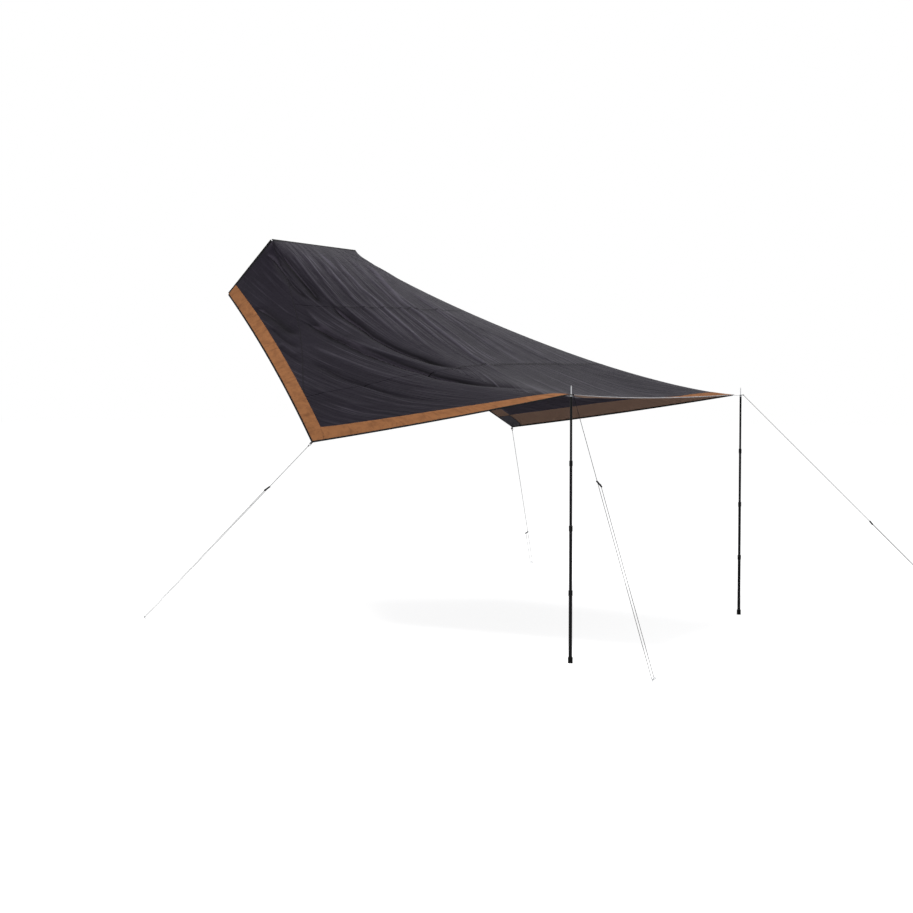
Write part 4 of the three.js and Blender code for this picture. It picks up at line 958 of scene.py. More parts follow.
belly = {"depth": 0.068, "reach": 0.34, "from": -1.02, "fromFade": 0.35, "to": 0.98, "toFade": 0.75}
gathers = {"height": 0.0050, "waves": 40.0, "decay": 0.27, "centre": 0.95, "seed": 11, "drift": 5.0,
           "farShare": 0.6}
rays = {"height": 0.0036, "waves": 46.0, "start": 0.30, "full": 0.75, "reach": 1.9, "fadeFrom": 0.45,
        "drift": 2.5, "seeds": {1: 26, 2: 27}, "middle": (1.7, 0.0, -1.1)}
billow = {"height": 0.006, "seed": 5, "across": 2.2, "along": 5.0}
anchor = {"railReach": 0.03, "cornerFrom": 0.05, "cornerTo": 0.28, "sideReach": 0.16, "sideRest": 0.25,
          "frontReach": 0.05, "frontRest": 0.35}


# Wrinkles that run from the rail and narrow toward a front corner
def railGathers(across, along, side):
    q = (gathers["centre"] + side * -across) * np.exp(along / gathers["decay"])
    height = waves(q * gathers["waves"], along, gathers["drift"], gathers["seed"] + side)
    share = eased(along, 0.006, 0.05) * (1 - eased(along, 0.12, 0.36))
    share = share * eased(side * -across, -1.05, -0.7) * (1 - eased(side * -across, 0.55, 0.95))
    return height * share * gathers["height"]


# Wrinkles that fan out of a corner
def cornerRays(points, corner):
    centre = frontCorners[corner]
    inward = unit(np.array(rays["middle"]) - centre)
    normal = unit(np.array([0.35, centre[1] * -0.35, 1.0]))
    side = unit(np.cross(normal, inward))
    offset = points - centre
    distance = np.linalg.norm(offset, axis=1)
    angle = np.arctan2(offset @ side, offset @ inward)
    height = waves(angle * rays["waves"], distance, rays["drift"], rays["seeds"][corner])
    share = eased(distance, rays["start"], rays["full"])
    share = share * (1 - eased(distance, rays["reach"] * rays["fadeFrom"], rays["reach"]))
    return height * share * rays["height"]


allRoutes = allFolds()


# Heights of the raised folds and of the sunk ones
def creaseHeights(across, along, sideways, forward):
    raised, sunk = np.zeros(len(across)), np.zeros(len(across))
    narrow = 1 - crest["narrowing"] * eased(along, crest["narrowFrom"], 1.0)
    for height, width, route in allRoutes:
        place, slope = routeCurve(route, along)
        heading = sideways * slope[:, None] + forward
        beside = np.linalg.norm(np.cross(sideways, heading), axis=1) / np.linalg.norm(heading, axis=1)
        distance = np.abs(across - place) * beside
        rounded = np.sqrt(distance ** 2 + crest["round"] ** 2) - crest["round"]
        share = (along - route[0, 1]) / (route[-1, 1] - route[0, 1])
        fade = eased(share, 0, crest["fadeIn"]) * (1 - eased(share, 1 - crest["fadeOut"], 1))
        target = raised if height > 0 else sunk
        target += height * fade * narrow * np.exp(-rounded / (width * narrow))
    return raised, sunk


# The cloth hangs lower just behind its front edge
def bellyHeight(across, along, forward):
    behind = (1 - along) * np.linalg.norm(forward, axis=1) / belly["reach"]
    share = eased(across, belly["from"], belly["from"] + belly["fromFade"])
    share = share * (1 - eased(across, belly["to"] - belly["toFade"], belly["to"]))
    return -belly["depth"] * share * behind * np.exp(1 - behind)


def foldHeight(across, along, points, sideways, forward):
    total = sum(creaseHeights(across, along, sideways, forward))
    for side, share in ((-1, 1.0), (1, gathers["farShare"])):
        total += railGathers(across, along, side) * share
    for corner in rays["seeds"]:
        total += cornerRays(points, corner)
    total += waves(across * billow["across"], along * billow["along"], 1.0, billow["seed"]) * billow["height"]
    anchored = eased(along, 0.0, anchor["railReach"])
    for centre in frontCorners:
        distance = np.linalg.norm(points - centre, axis=1)
        anchored = anchored * eased(distance, anchor["cornerFrom"], anchor["cornerTo"])
    atSide = eased(np.minimum(2 - np.abs(across), 1.0), 0.0, anchor["sideReach"])
    atFront = eased(1 - along, 0.0, anchor["frontReach"])
    total *= anchored * (anchor["sideRest"] + (1 - anchor["sideRest"]) * atSide)
    total *= anchor["frontRest"] + (1 - anchor["frontRest"]) * atFront
    return total + bellyHeight(across, along, forward)


def sheet(across, along, lift=0.0):
    shape = np.shape(across)
    flatAcross, flatAlong = np.ravel(across), np.ravel(along)
    points = film(flatAcross, flatAlong)
    sideways, forward, normal = slopes(flatAcross, flatAlong)
    height = foldHeight(flatAcross, flatAlong, points, sideways, forward)
    height = height + np.ravel(np.broadcast_to(lift, shape))
    return (points + normal * height[:, None]).reshape(*shape, 3), normal.reshape(*shape, 3)


print("net settled")
courses = {name: ropeCourse(guy) for name, guy in guys.items()}
buildGuys()

# Seams, worked out as distances on the settled sheet

seams = {
    "first": 0.27, "second": 0.76, "bow": 1.71, "bowFade": 3, "gussetCurve": 1.35, "gussetTip": 0.004,
    "sideBand": 0.120, "lowerBand": 0.145, "bandTaper": (
        (-2.0, 1.0), (-1.9, 0.88), (-1.7, 0.79), (-1.47, 0.70), (-1.25, 0.58), (-1.0, 0.50), (1.0, 0.80),
        (1.5, 1.0)),
    "kederFlap": 0.018, "crowd": 1.4, "columns": 440, "rear": 72, "middle": 108, "front": 60,
    "gussetColumns": 96, "bandColumns": 14, "bandRows": 14, "lap": 0.008, "bandLift": 0.0014,
    "cloth": 0.0010, "bandCloth": 0.0012, "tuck": 0.006, "tuckDrop": 0.0022, "hip": 1.10, "hipFade": 0.06,
    "seamHalf": 0.0065, "seamRise": 0.0014, "stripCloth": 0.0005, "stripShade": 0.75,
    "runLength": 4.4, "puckerReach": 0.05,
}
sideLines = {side: sideEdge(side, np.linspace(0, 1, net["rows"] + 1)) for side in (-1, 1)}
frontLine = frontEdge(np.linspace(-2, 2, 2 * net["columns"] + 1))


def firstBeyond(distances, limit, places):
    k = int(np.argmax(distances >= limit))
    share = (limit - distances[k - 1]) / (distances[k] - distances[k - 1])
    return places[k - 1] + share * (places[k] - places[k - 1])


# How far, and in how many steps, the edges of bands and flaps are looked for
look = {"band": (2.0, 1.3, 60), "rail": (0.0, 0.03, 40), "front": (0.0, 0.16, 50)}


# Inner edge of a side band at each row of the net
def bandInnerEdge(side):
    rows = np.linspace(0, 1, net["rows"] + 1)
    inners = []
    for row in rows:
        places = np.linspace(*look["band"])
        distances = toLine(film(side * places, np.full(len(places), row)), sideLines[side])
        inners.append(firstBeyond(distances, seams["sideBand"], places))
    return rows, np.array(inners)


innerEdges = {side: bandInnerEdge(side) for side in (-1, 1)}


def bandInner(side, along):
    return side * np.interp(along, *innerEdges[side])


def gussetSeam(side, along):
    tipPlace = bandInner(side, seams["second"])
    step = np.linalg.norm(slopes(np.array([tipPlace]), np.array([seams["second"]]))[0][0])
    tip = abs(tipPlace) - seams["gussetTip"] / step
    left = 1 - np.clip(along / seams["second"], 0, 1)
    return side * (1 + (tip - 1) * (1 - left ** seams["gussetCurve"]))


def crossSeam(row, share):
    return row + seams["bow"] * row * (1 - row) ** seams["bowFade"] * (1 - share * share)


def sideOf(share):
    return np.where(share < 0, -1, 1)


def upperPath(share, along):
    return np.where(share < 0, -share * gussetSeam(-1, along), share * gussetSeam(1, along))


def lowerPath(share, along):
    return np.where(share < 0, -share * bandInner(-1, along), share * bandInner(1, along))


def rowFromRail(path):
    places = np.linspace(*look["rail"])
    distances = toLine(film(path(places), places), railCorners)
    return firstBeyond(distances, seams["kederFlap"], places)


# Width of the lower bands, which narrow toward the near front corner
def lowerBandWidth(across):
    places, widths = zip(*seams["bandTaper"])
    return seams["lowerBand"] * float(np.interp(across, places, widths))


def rowBeforeFront(path, distance):
    places = 1 - np.linspace(*look["front"])
    distances = toLine(film(path(places), places), frontLine)
    return firstBeyond(distances, distance, places)


def columnShares():
    shares = 2 * np.linspace(0, 1, seams["columns"] + 1) ** seams["crowd"] - 1
    for side in (-1, 1):
        corner = 1 / float(bandInner(side, 1.0))
        shares[np.argmin(np.abs(shares - corner))] = corner
    return shares


shares = columnShares()
nearCorner, farCorner = (int(np.argmin(np.abs(shares - 1 / float(bandInner(side, 1.0))))) for side in (-1, 1))


# Grid of (across, along) places: each column follows a path between two rows
def placesOf(path, columnList, tops, bottoms, count):
    rows = np.linspace(0, 1, count + 1)
    along = np.array(tops)[:, None] * (1 - rows) + np.array(bottoms)[:, None] * rows
    return path(np.array(columnList)[:, None] + 0 * along, along), along


def stretchRow(distance, across, along):  # share of the sheet's length that a distance covers here
    return distance / np.linalg.norm(slopes(across, along)[1], axis=-1)


def stretchColumn(distance, across, along):
    return distance / np.linalg.norm(slopes(across, along)[0], axis=-1)


def gridArea(grid):
    first = np.cross(grid[1:, :-1] - grid[:-1, :-1], grid[:-1, 1:] - grid[:-1, :-1])
    second = np.cross(grid[1:, :-1] - grid[1:, 1:], grid[:-1, 1:] - grid[1:, 1:])
    return float((np.linalg.norm(first, axis=-1).sum() + np.linalg.norm(second, axis=-1).sum()) / 2)


def store(mesh, name, values):
    attribute = mesh.attributes.new(name, "FLOAT", "POINT")
    attribute.data.foreach_set("value", values.astype(np.float32))


def hipShare(across):  # 1 between the two hips, 0 on the wings
    return 1 - eased(np.abs(across), seams["hip"] - seams["hipFade"], seams["hip"] + seams["hipFade"])


# One cut panel as a thin sheet, with its map in metres of cloth
def clothPiece(name, node, slot, across, along, thickness, lift=0.0, place=None):
    points, unused = sheet(across, along, lift)
    place = clothPlace(across, along) if place is None else place
    mesh = gridMesh(name, points, place[..., 0], place[..., 1])
    piece = linked(name, mesh, "canopy", slot, [node] if node else [])
    flatAlong = np.ravel(along)
    share = np.clip(across / np.abs(upperPath(sideOf(across), along)), -1, 1)
    rowsAway = np.minimum(np.abs(along - crossSeam(seams["first"], share)),
                          np.abs(along - crossSeam(seams["second"], share)))
    nearSeam = np.exp(-rowsAway * seams["runLength"] / seams["puckerReach"])
    flow, spacing = flowPlace(np.ravel(across), flatAlong)
    raised, sunk = creaseHeights(np.ravel(across), flatAlong, *slopes(np.ravel(across), flatAlong)[:2])
    # On the lower wings the fine wrinkles are raised, which adds relief and also lightens them with painted
    # sheen streaks
    wingLow = eased(np.abs(np.ravel(across)), 1.08, 1.35) * eased(flatAlong, 0.35, 0.65)
    fine = np.clip(spacing / 0.45, 0.12, 1.0) * (0.5 + 0.5 * eased(np.ravel(across), -1.5, -0.9))
    amounts = {
        # Painted highlight mask on raised fold crests
        "paintedRidgeHighlight": np.clip(raised / crest["litAt"], 0, 1) ** crest["litPower"],
        # Painted shade mask in sunk folds
        "paintedCreaseShade": np.clip(-sunk / crest["shadeFullAt"], 0, 1) ** crest["shadePower"],
        "flow": flow,
        "fineWaves": np.maximum(fine, 0.6 * wingLow),
        "pucker": np.ravel(nearSeam) * hipShare(np.ravel(across)),
    }
    for key, values in amounts.items():
        store(mesh, key, values)
    shell = piece.modifiers.new("thickness", "SOLIDIFY")
    shell.thickness = thickness
    shell.offset = 0
    smooth = film(across, along)
    width = max(lengths(smooth[:, row])[-1] for row in range(smooth.shape[1]))
    length = max(lengths(smooth[column])[-1] for column in range(smooth.shape[0]))
    area = gridArea(smooth)
    if area > width * length:
        width = area / length
    return piece


# Places of a panel whose upper edge is tucked under the panel before, with its thickness and its lift
def lappedPlaces(path, tops, bottoms, count):
    tucked = tops - stretchRow(seams["tuck"], path(shares, tops), tops)
    across, along = placesOf(path, shares, tucked, bottoms, count)
    lift = np.zeros(across.shape)
    lift[:, 0] = -seams["tuckDrop"]
    return across, along, seams["cloth"], lift


def buildPanels():
    tops = [rowFromRail(lambda along, s=s: upperPath(s, along)) for s in shares]
    firsts, seconds = crossSeam(seams["first"], shares), crossSeam(seams["second"], shares)
    widths = [lowerBandWidth(lowerPath(s, 1.0)) for s in shares]
    skirts = [rowBeforeFront(lambda along, s=s: lowerPath(s, along), width)
              for s, width in zip(shares, widths)]
    rear = clothPiece("rearCloth", "rear_panel", "ripstop",
                      *placesOf(upperPath, shares, tops, firsts, seams["rear"]), seams["cloth"])
    middle = clothPiece("middleCloth", "middle_panel", "ripstop",
                        *lappedPlaces(upperPath, firsts, seconds, seams["middle"]))
    front = clothPiece("frontCloth", "front_panel", "ripstop",
                       *lappedPlaces(lowerPath, seconds, skirts, seams["front"]))
    bands = []
    for name, node, first, last in (
            ("nearLowerBand", "near_lower_band", 0, nearCorner),
            ("frontBand", "front_band", nearCorner, farCorner),
            ("farLowerBand", "far_lower_band", farCorner, len(shares) - 1)):
        chosen = shares[first:last + 1]
        lapped = np.array(skirts[first:last + 1])
        lapped = lapped - stretchRow(seams["lap"], lowerPath(chosen, lapped), lapped)
        across, along = placesOf(lowerPath, chosen, lapped, np.ones(len(chosen)), seams["bandRows"])
        smooth = film(across, along)
        fromSeam = np.stack([lengths(column) for column in smooth])
        alongBand = np.tile(lengths(smooth[:, 0])[:, None], (1, smooth.shape[1]))
        place = np.stack([fromSeam, alongBand], axis=-1)
        bands.append(clothPiece(name, node, "tan_band", across, along, seams["bandCloth"],
                                seams["bandLift"], place))
    return rear, middle, front, bands


def buildWing(end, side):
    rows = np.linspace(0, 1, 240)
    top = rowFromRail(lambda along: bandInner(side, along))
    columns = np.linspace(0, 1, seams["gussetColumns"] + 1)
    order = columns if side < 0 else columns[::-1]

    def gorePath(share, along):
        return bandInner(side, along) * (1 - share) + gussetSeam(side, along) * share

    goreTops = [rowFromRail(lambda along, s=s: gorePath(s, along)) for s in order]
    gore, alongGore = placesOf(gorePath, order, goreTops, np.full(len(order), seams["second"]),
                               seams["rear"] + seams["middle"])
    cloth = clothPiece(end + "GoreCloth", end + "_gusset", "ripstop", gore, alongGore, seams["cloth"])
    lap = stretchColumn(seams["lap"], bandInner(side, rows), rows)
    inner = bandInner(side, rows) - side * lap
    topBand = top + (1 - top) * rows
    innerBand = np.interp(topBand, rows, inner)
    steps = np.linspace(0, 1, seams["bandColumns"] + 1)[:, None]
    across = 2 * side * (1 - steps) + innerBand[None, :] * steps
    along = np.tile(topBand[None, :], (len(steps), 1))
    smooth = film(across, along)
    fromSeam = np.stack([lengths(smooth[::-1, row])[::-1] for row in range(smooth.shape[1])], axis=1)
    alongBand = np.tile(lengths(smooth[-1])[None, :], (len(steps), 1))
    place = np.stack([fromSeam, alongBand], axis=-1)
    if side > 0:
        across, along, place = across[::-1], along[::-1], place[::-1]
    band = clothPiece(end + "SideBand", end + "_side_band", "tan_band", across, along, seams["bandCloth"],
                      seams["bandLift"], place)
    return cloth, band


rearCloth, middleCloth, frontCloth, lowerBands = buildPanels()
wings = {end: buildWing(end, side) for end, side in (("near", -1), ("far", 1))}
print("panels made")


# Felled strip over a seam: its profile runs across, in metres from the seam and above the cloth
def seamStrip(name, across, along, alongSeam):
    half, rise = seams["seamHalf"], seams["seamRise"]
    profile = [(-half, 0.0002), (-half * 0.9, rise * 0.75), (-half * 0.4, rise), (half * 0.4, rise),
               (half * 0.9, rise * 0.75), (half, 0.0002)]
    acrossGrid, alongGrid, lift = [], [], []
    for reach, height in profile:
        if alongSeam:
            acrossGrid.append(across)
            alongGrid.append(along + stretchRow(reach, across, along))
        else:
            acrossGrid.append(across + stretchColumn(reach, across, along))
            alongGrid.append(along)
        raised = hipShare(across) if alongSeam else 1.0
        lift.append(height * raised + min(height, 0.0007) * (1 - raised) + 0 * across)
    acrossGrid, alongGrid, lift = (np.array(values) for values in (acrossGrid, alongGrid, lift))
    if alongSeam:
        acrossGrid, alongGrid, lift = acrossGrid.T, alongGrid.T, lift.T
    points, unused = sheet(acrossGrid, alongGrid, lift)
    place = clothPlace(acrossGrid, alongGrid)
    mesh = gridMesh(name, points, place[..., 0], place[..., 1])
    fromSeam = np.array([reach for reach, height in profile])
    fromSeam = fromSeam[None, :] if alongSeam else fromSeam[:, None]
    sewn = hipShare(acrossGrid) if alongSeam else np.ones(acrossGrid.shape)
    store(mesh, "seamPlace", np.ravel(np.where(sewn > 0.5, fromSeam, 1.0)))
    store(mesh, "seamShade", np.ravel(seams["stripShade"] * sewn))
    piece = linked(name, mesh, "canopy", "ripstop")
    shell = piece.modifiers.new("thickness", "SOLIDIFY")
    shell.thickness = seams["stripCloth"]
    shell.offset = 0
    return piece


def buildSeams():
    made = {}
    for name, row, path in (("rearSeam", "first", upperPath), ("frontSeam", "second", lowerPath)):
        along = crossSeam(seams[row], shares)
        across = path(shares, along)
        sewn = np.abs(across) < seams["hip"] + seams["hipFade"]
        made[name] = seamStrip(name, across[sewn], along[sewn], True)
    for end, side in (("near", -1), ("far", 1)):
        top = rowFromRail(lambda along: gussetSeam(side, along))
        along = np.linspace(top, seams["second"] - 0.004, 240)
        made[end + "GoreSeam"] = seamStrip(end + "GoreSeam", gussetSeam(side, along), along, False)
    return made


seamStrips = buildSeams()

# Tapes along the free edges

tape = {"width": 0.012, "hem": 0.008, "half": 0.0019, "lap": 0.005, "setback": 0.020, "round": 5}


def edgeLine(side):
    rows = np.linspace(0, 1, 230)
    top = rowFromRail(lambda along: 2.0 * side + 0 * along)
    down = top + (1 - top) * rows
    lowerEnd = np.linspace(0, 1, 220)[1:]
    across = np.concatenate([np.full(len(down), 2.0 * side), side * (2 - lowerEnd)])
    along = np.concatenate([down, np.ones(len(lowerEnd))])
    return across, along


def drawnBack(points, normals, distance):
    run = lengths(points)
    keep = run < run[-1] - distance
    share = (run[-1] - distance - run[keep][-1]) / (run[len(run[keep])] - run[keep][-1])
    k = len(run[keep])
    end = points[k - 1] + share * (points[k] - points[k - 1])
    normal = unit(normals[k - 1] + share * (normals[k] - normals[k - 1]))
    return np.concatenate([points[:k], end[None]]), np.concatenate([normals[:k], normal[None]])


# Tape folded over an edge, rounded where it turns
def tapeGrid(points, normals, width, turn):
    steps = unit(np.cross(np.diff(points, axis=0), normals[:-1])) * turn
    before = np.concatenate([steps[:1], steps])
    after = np.concatenate([steps, steps[-1:]])
    mitre = (before + after) / (1 + (before * after).sum(axis=1))[:, None]
    half = tape["half"]
    section = [(-tape["lap"], half * 0.86), (0.0, half), (width - 2.2 * half, half)]
    for k in range(1, tape["round"]):
        angle = math.pi / 2 - math.pi * k / tape["round"]
        section.append((width - 2.2 * half + 2.2 * half * math.cos(angle), half * math.sin(angle)))
    section += [(width - 2.2 * half, -half), (0.0, -half), (-tape["lap"], -half * 0.86)]
    ring = np.stack([points + mitre * reach + normals * height for reach, height in section], axis=1)
    around = lengths(np.array([(reach, height, 0.0) for reach, height in section + section[:1]]))
    down = np.tile(lengths(points)[:, None], (1, len(section) + 1))
    return ring, np.tile(around[None], (len(points), 1)), down


def tapePiece(name, node, slot, across, along, width, turn, bothEnds=False):
    points, normals = sheet(across, along, seams["bandLift"] / 2)
    points, normals = drawnBack(points, normals, tape["setback"])
    if bothEnds:
        points, normals = drawnBack(points[::-1], normals[::-1], tape["setback"])
        points, normals = points[::-1], normals[::-1]
    mesh = gridMesh(name, *tapeGrid(points, normals, width, turn), ringed=True, capped=True)
    return linked(name, turnedOut(mesh), "canopy", slot, [node])


bindings = {
    end: tapePiece(end + "EdgeBinding", end + "_edge_binding", "binding", *edgeLine(side), tape["width"], -side)
    for end, side in (("near", -1), ("far", 1))
}
hemAcross = np.linspace(-1, 1, 300)
frontHem = tapePiece("frontHem", "front_hem", "hem", hemAcross, np.ones(300), tape["hem"], 1, bothEnds=True)

# Beaded strips on the rail

bead = {"radius": 0.004, "sides": 14, "flap": 0.00125, "setback": 0.006, "lap": 0.006}


def kederPiece(name, node, across, railFrom, railTo):
    top = np.array([rowFromRail(lambda along, a=a: a + 0 * along) for a in across])
    cloth, normal = sheet(across, top + stretchRow(bead["lap"], across, top))
    rail = railTo - railFrom
    foot = np.clip((cloth - railFrom) @ rail / (rail @ rail), 0, 1)
    centre = railFrom + foot[:, None] * rail
    flap = cloth - centre
    reach = np.linalg.norm(flap, axis=1)
    outward = unit(flap)
    height = unit(normal - outward * (normal * outward).sum(axis=1)[:, None])
    opening = math.asin(bead["flap"] / bead["radius"])
    rings = []
    for angle in np.linspace(opening, 2 * math.pi - opening, bead["sides"]):
        aside, over = bead["radius"] * math.cos(angle), bead["radius"] * math.sin(angle)
        rings.append(centre + outward * aside + height * over)
    for share, side in ((0.55, -1), (1.0, -0.8), (1.0, 0.8), (0.55, 1)):
        rings.append(centre + outward * (reach * share)[:, None] + height * bead["flap"] * side)
    ring = np.stack(rings, axis=1)
    around = np.linspace(0, 0.06, ring.shape[1] + 1)
    mesh = gridMesh(name, ring, np.tile(around[None], (len(across), 1)),
                    np.tile(lengths(centre)[:, None], (1, ring.shape[1] + 1)), ringed=True, capped=True)
    return linked(name, turnedOut(mesh), "canopy", "keder", [node])


def buildKeders():
    inset = bead["setback"] / net["railHalf"]
    front = kederPiece("frontBead", "front_keder", np.linspace(-1 + inset / 2, 1 - inset / 2, 90),
                       railCorners[1] + (0, bead["setback"], 0), railCorners[2] - (0, bead["setback"], 0))
    sides = []
    for end, side, low, high in (("near", -1, 0, 1), ("far", 1, 3, 2)):
        across = side * np.linspace(2.0, 1.0 + inset / 2, 60)
        top = railCorners[high] + unit(railCorners[low] - railCorners[high]) * bead["setback"]
        sides.append(kederPiece(end + "SideBead", end + "_side_keder", across, railCorners[low], top))
    return front, sides


frontBead, sideBeads = buildKeders()

# Corner patches under the wings

patch = {"drop": 0.0028, "thickness": 0.0016, "margin": 0.004}


def patchPiece(end, side):
    skirt = rowBeforeFront(lambda along: bandInner(side, along), seams["lowerBand"])
    along = np.linspace(skirt + 0.002, 0.9975, 20)
    inner = bandInner(side, along)
    marginColumns = stretchColumn(patch["margin"], inner, along)
    steps = np.linspace(0, 1, 16)[:, None]
    outer, inner = 2 * side - side * marginColumns, inner + side * marginColumns
    across = outer[None, :] * (1 - steps) + inner[None, :] * steps
    if side > 0:
        across = across[::-1]
    return clothPiece(end + "WingPatch", end + "_wing_patch", "webbing", across, np.tile(along[None], (16, 1)),
                      patch["thickness"], -patch["drop"])


patches = {end: patchPiece(end, side) for end, side in (("near", -1), ("far", 1))}
print("tapes, beads and patches made")

# Webbing tabs, smoothed from their own solids


# Merged copy of a frame node, with its map laid flat along two directions
def softenedCopy(name, node, body, slot, origin, uAxis, vAxis, bevel):
    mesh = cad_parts[node].data.copy()
    mesh.name = name
    mesh.materials.clear()
    work = bmesh.new()
    work.from_mesh(mesh)
    bmesh.ops.remove_doubles(work, verts=work.verts, dist=1e-6)
    bmesh.ops.dissolve_limit(work, angle_limit=math.radians(1), verts=work.verts, edges=work.edges)
    bmesh.ops.recalc_face_normals(work, faces=work.faces)
    sharp = [edge for edge in work.edges
             if len(edge.link_faces) == 2 and edge.calc_face_angle() > math.radians(40)]
    bmesh.ops.bevel(work, geom=sharp, offset=bevel, segments=2, profile=0.5, affect="EDGES", material=-1,
                    clamp_overlap=True)
    layer = work.loops.layers.uv.new("weave")
    for face in work.faces:
        for loop in face.loops:
            offset = loop.vert.co - Vector(origin)
            loop[layer].uv = (offset.dot(Vector(uAxis)), offset.dot(Vector(vAxis)))
    work.to_mesh(mesh)
    work.free()
    piece = linked(name, mesh, body, slot, [node])
    return sharpened(piece, 35)


def buildTabs():
    made = {}
    for end, side in (("near", -1), ("far", 1)):
        turn = math.radians(net["cornerTurn"])
        back = (-math.cos(turn), -side * math.sin(turn), 0.0)
        wide = (-back[1], back[0], 0.0)
        top = (net["poleRun"][side], side * net["poleHalf"], -net["poleTopDrop"])
        made[end + "_pole"] = softenedCopy(end + "PoleTab", end + "_pole_tab", "canopy", "webbing",
                                           top, wide, back, 0.0004)
        course = courses[end + "_wing"]
        made[end + "_wing"] = softenedCopy(end + "WingTab", end + "_wing_tab", "canopy", "webbing",
                                           course["eye"], course["sideways"], course["heading"], 0.0003)
    return made


tabs = buildTabs()

# Telescoping poles

pole = {
    "tubeRadii": (0.0095, 0.011, 0.0125, 0.014), "wall": 0.0009, "lap": 0.070, "height": 2.100,
    "collarDepths": (0.524, 1.036, 1.546), "collarHeight": 0.043, "collarOver": 0.0026,
    "collarStep": 0.012, "lip": 0.0012, "fluteDepth": 0.0007, "fluteMargin": 0.006, "footRadius": 0.0195,
    "footHeight": 0.048, "footBase": 0.010, "gap": 0.0003, "steps": 48, "spikeRadius": 0.004,
    "spikeRise": 0.086, "spikeTaper": 0.008, "spikeTip": 0.0015, "spikeRoot": 0.025, "dome": 0.0092,
    "domeSteps": 12, "eyeletBore": 0.006, "eyeletWall": 0.001, "eyeletFlange": 0.011,
    "eyeletPlate": 0.001, "web": 0.002,
}
tubeTops = [0.0] + [depth - pole["collarStep"] for depth in pole["collarDepths"]]
tubeEnds = [top + pole["lap"] for top in tubeTops[1:]] + [pole["height"] - pole["footBase"] - pole["gap"]]


# Profile of (radius, height) points spun round a pole's axis
def spunMesh(name, profile, top, shape=None):
    work = bmesh.new()
    corners = [work.verts.new((radius, 0.0, height)) for radius, height in profile]
    edges = [work.edges.new(pair) for pair in zip(corners[:-1], corners[1:])]
    bmesh.ops.spin(work, geom=corners + edges, cent=(0, 0, 0), axis=(0, 0, 1), dvec=(0, 0, 0),
                   angle=2 * math.pi, steps=pole["steps"], use_merge=True, use_duplicate=False)
    bmesh.ops.remove_doubles(work, verts=work.verts, dist=1e-6)
    bmesh.ops.recalc_face_normals(work, faces=work.faces)
    if shape:
        shape(work)
    bmesh.ops.translate(work, verts=work.verts, vec=top)
    mesh = bpy.data.meshes.new(name)
    work.to_mesh(mesh)
    work.free()
    return mesh


def rounded(corners, radius, steps=3):  # softens the inner corners of an open profile
    points = [corners[0]]
    for before, here, after in zip(corners[:-2], corners[1:-1], corners[2:]):
        before, here, after = (Vector((*p, 0.0)) for p in (before, here, after))
        back, ahead = before - here, after - here
        reach = min(radius, back.length * 0.45, ahead.length * 0.45)
        start, end = here + back.normalized() * reach, here + ahead.normalized() * reach
        for k in range(steps + 1):
            s = k / steps
            spot = start * (1 - s) ** 2 + here * 2 * s * (1 - s) + end * s ** 2
            points.append((spot.x, spot.y))
    points.append(corners[-1])
    return points


def tubeProfile(i):
    outer = pole["tubeRadii"][i]
    inner = outer - pole["wall"]
    low, high = -tubeEnds[i], -tubeTops[i]
    middle = (low + high) / 2
    corners = [(inner, middle), (inner, low), (outer, low), (outer, high), (inner, high), (inner, middle)]
    return rounded(corners, 0.0003, 2)


def spikeProfile():
    root = pole["tubeRadii"][0] - pole["wall"] - pole["gap"]
    start, end = math.asin(pole["gap"] / pole["dome"]), math.acos(pole["spikeRadius"] / pole["dome"])
    profile = [(0, -pole["spikeRoot"]), (root, -pole["spikeRoot"]), (root, pole["gap"])]
    for k in range(pole["domeSteps"] + 1):
        angle = start + (end - start) * k / pole["domeSteps"]
        profile.append((pole["dome"] * math.cos(angle), pole["dome"] * math.sin(angle)))
    low = pole["spikeRise"] - pole["spikeTaper"]
    pin = rounded([(pole["spikeRadius"], low - 0.02), (pole["spikeRadius"], low),
                   (pole["spikeTip"], pole["spikeRise"]), (0, pole["spikeRise"])], 0.002, 4)
    return profile + pin


def collarProfile(i):
    radius = pole["tubeRadii"][i + 1] + pole["collarOver"]
    wide, narrow = pole["tubeRadii"][i + 1] + pole["gap"], pole["tubeRadii"][i] + pole["gap"]
    low = -pole["collarDepths"][i] - pole["collarHeight"] / 2
    high = low + pole["collarHeight"]
    step = pole["gap"] - tubeTops[i + 1]
    middle = (low + step) / 2
    margin = pole["fluteMargin"]
    outside = [(radius, low), (radius, low + margin), (radius, high - margin), (radius, high)]
    inside = [(narrow, high), (narrow, step), (wide, step), (wide, middle)]
    return rounded([(wide, middle), (wide, low), *outside, *inside], pole["lip"], 3)


# Sinks every second stretch of a collar's grip, which leaves standing ribs
def fluted(i):
    radius = pole["tubeRadii"][i + 1] + pole["collarOver"]

    def shape(work):
        grip = []
        for face in work.faces:
            centre = face.calc_center_median()
            angle = math.atan2(centre.y, centre.x) % (2 * math.pi)
            tall = max(v.co.z for v in face.verts) - min(v.co.z for v in face.verts)
            outside = math.hypot(centre.x, centre.y) > radius * 0.985
            outside = outside and tall > pole["collarHeight"] * 0.5
            if outside and int(angle / (2 * math.pi) * pole["steps"]) % 2:
                grip.append(face)
        bmesh.ops.inset_individual(work, faces=grip, thickness=0.00022, depth=-pole["fluteDepth"])

    return shape


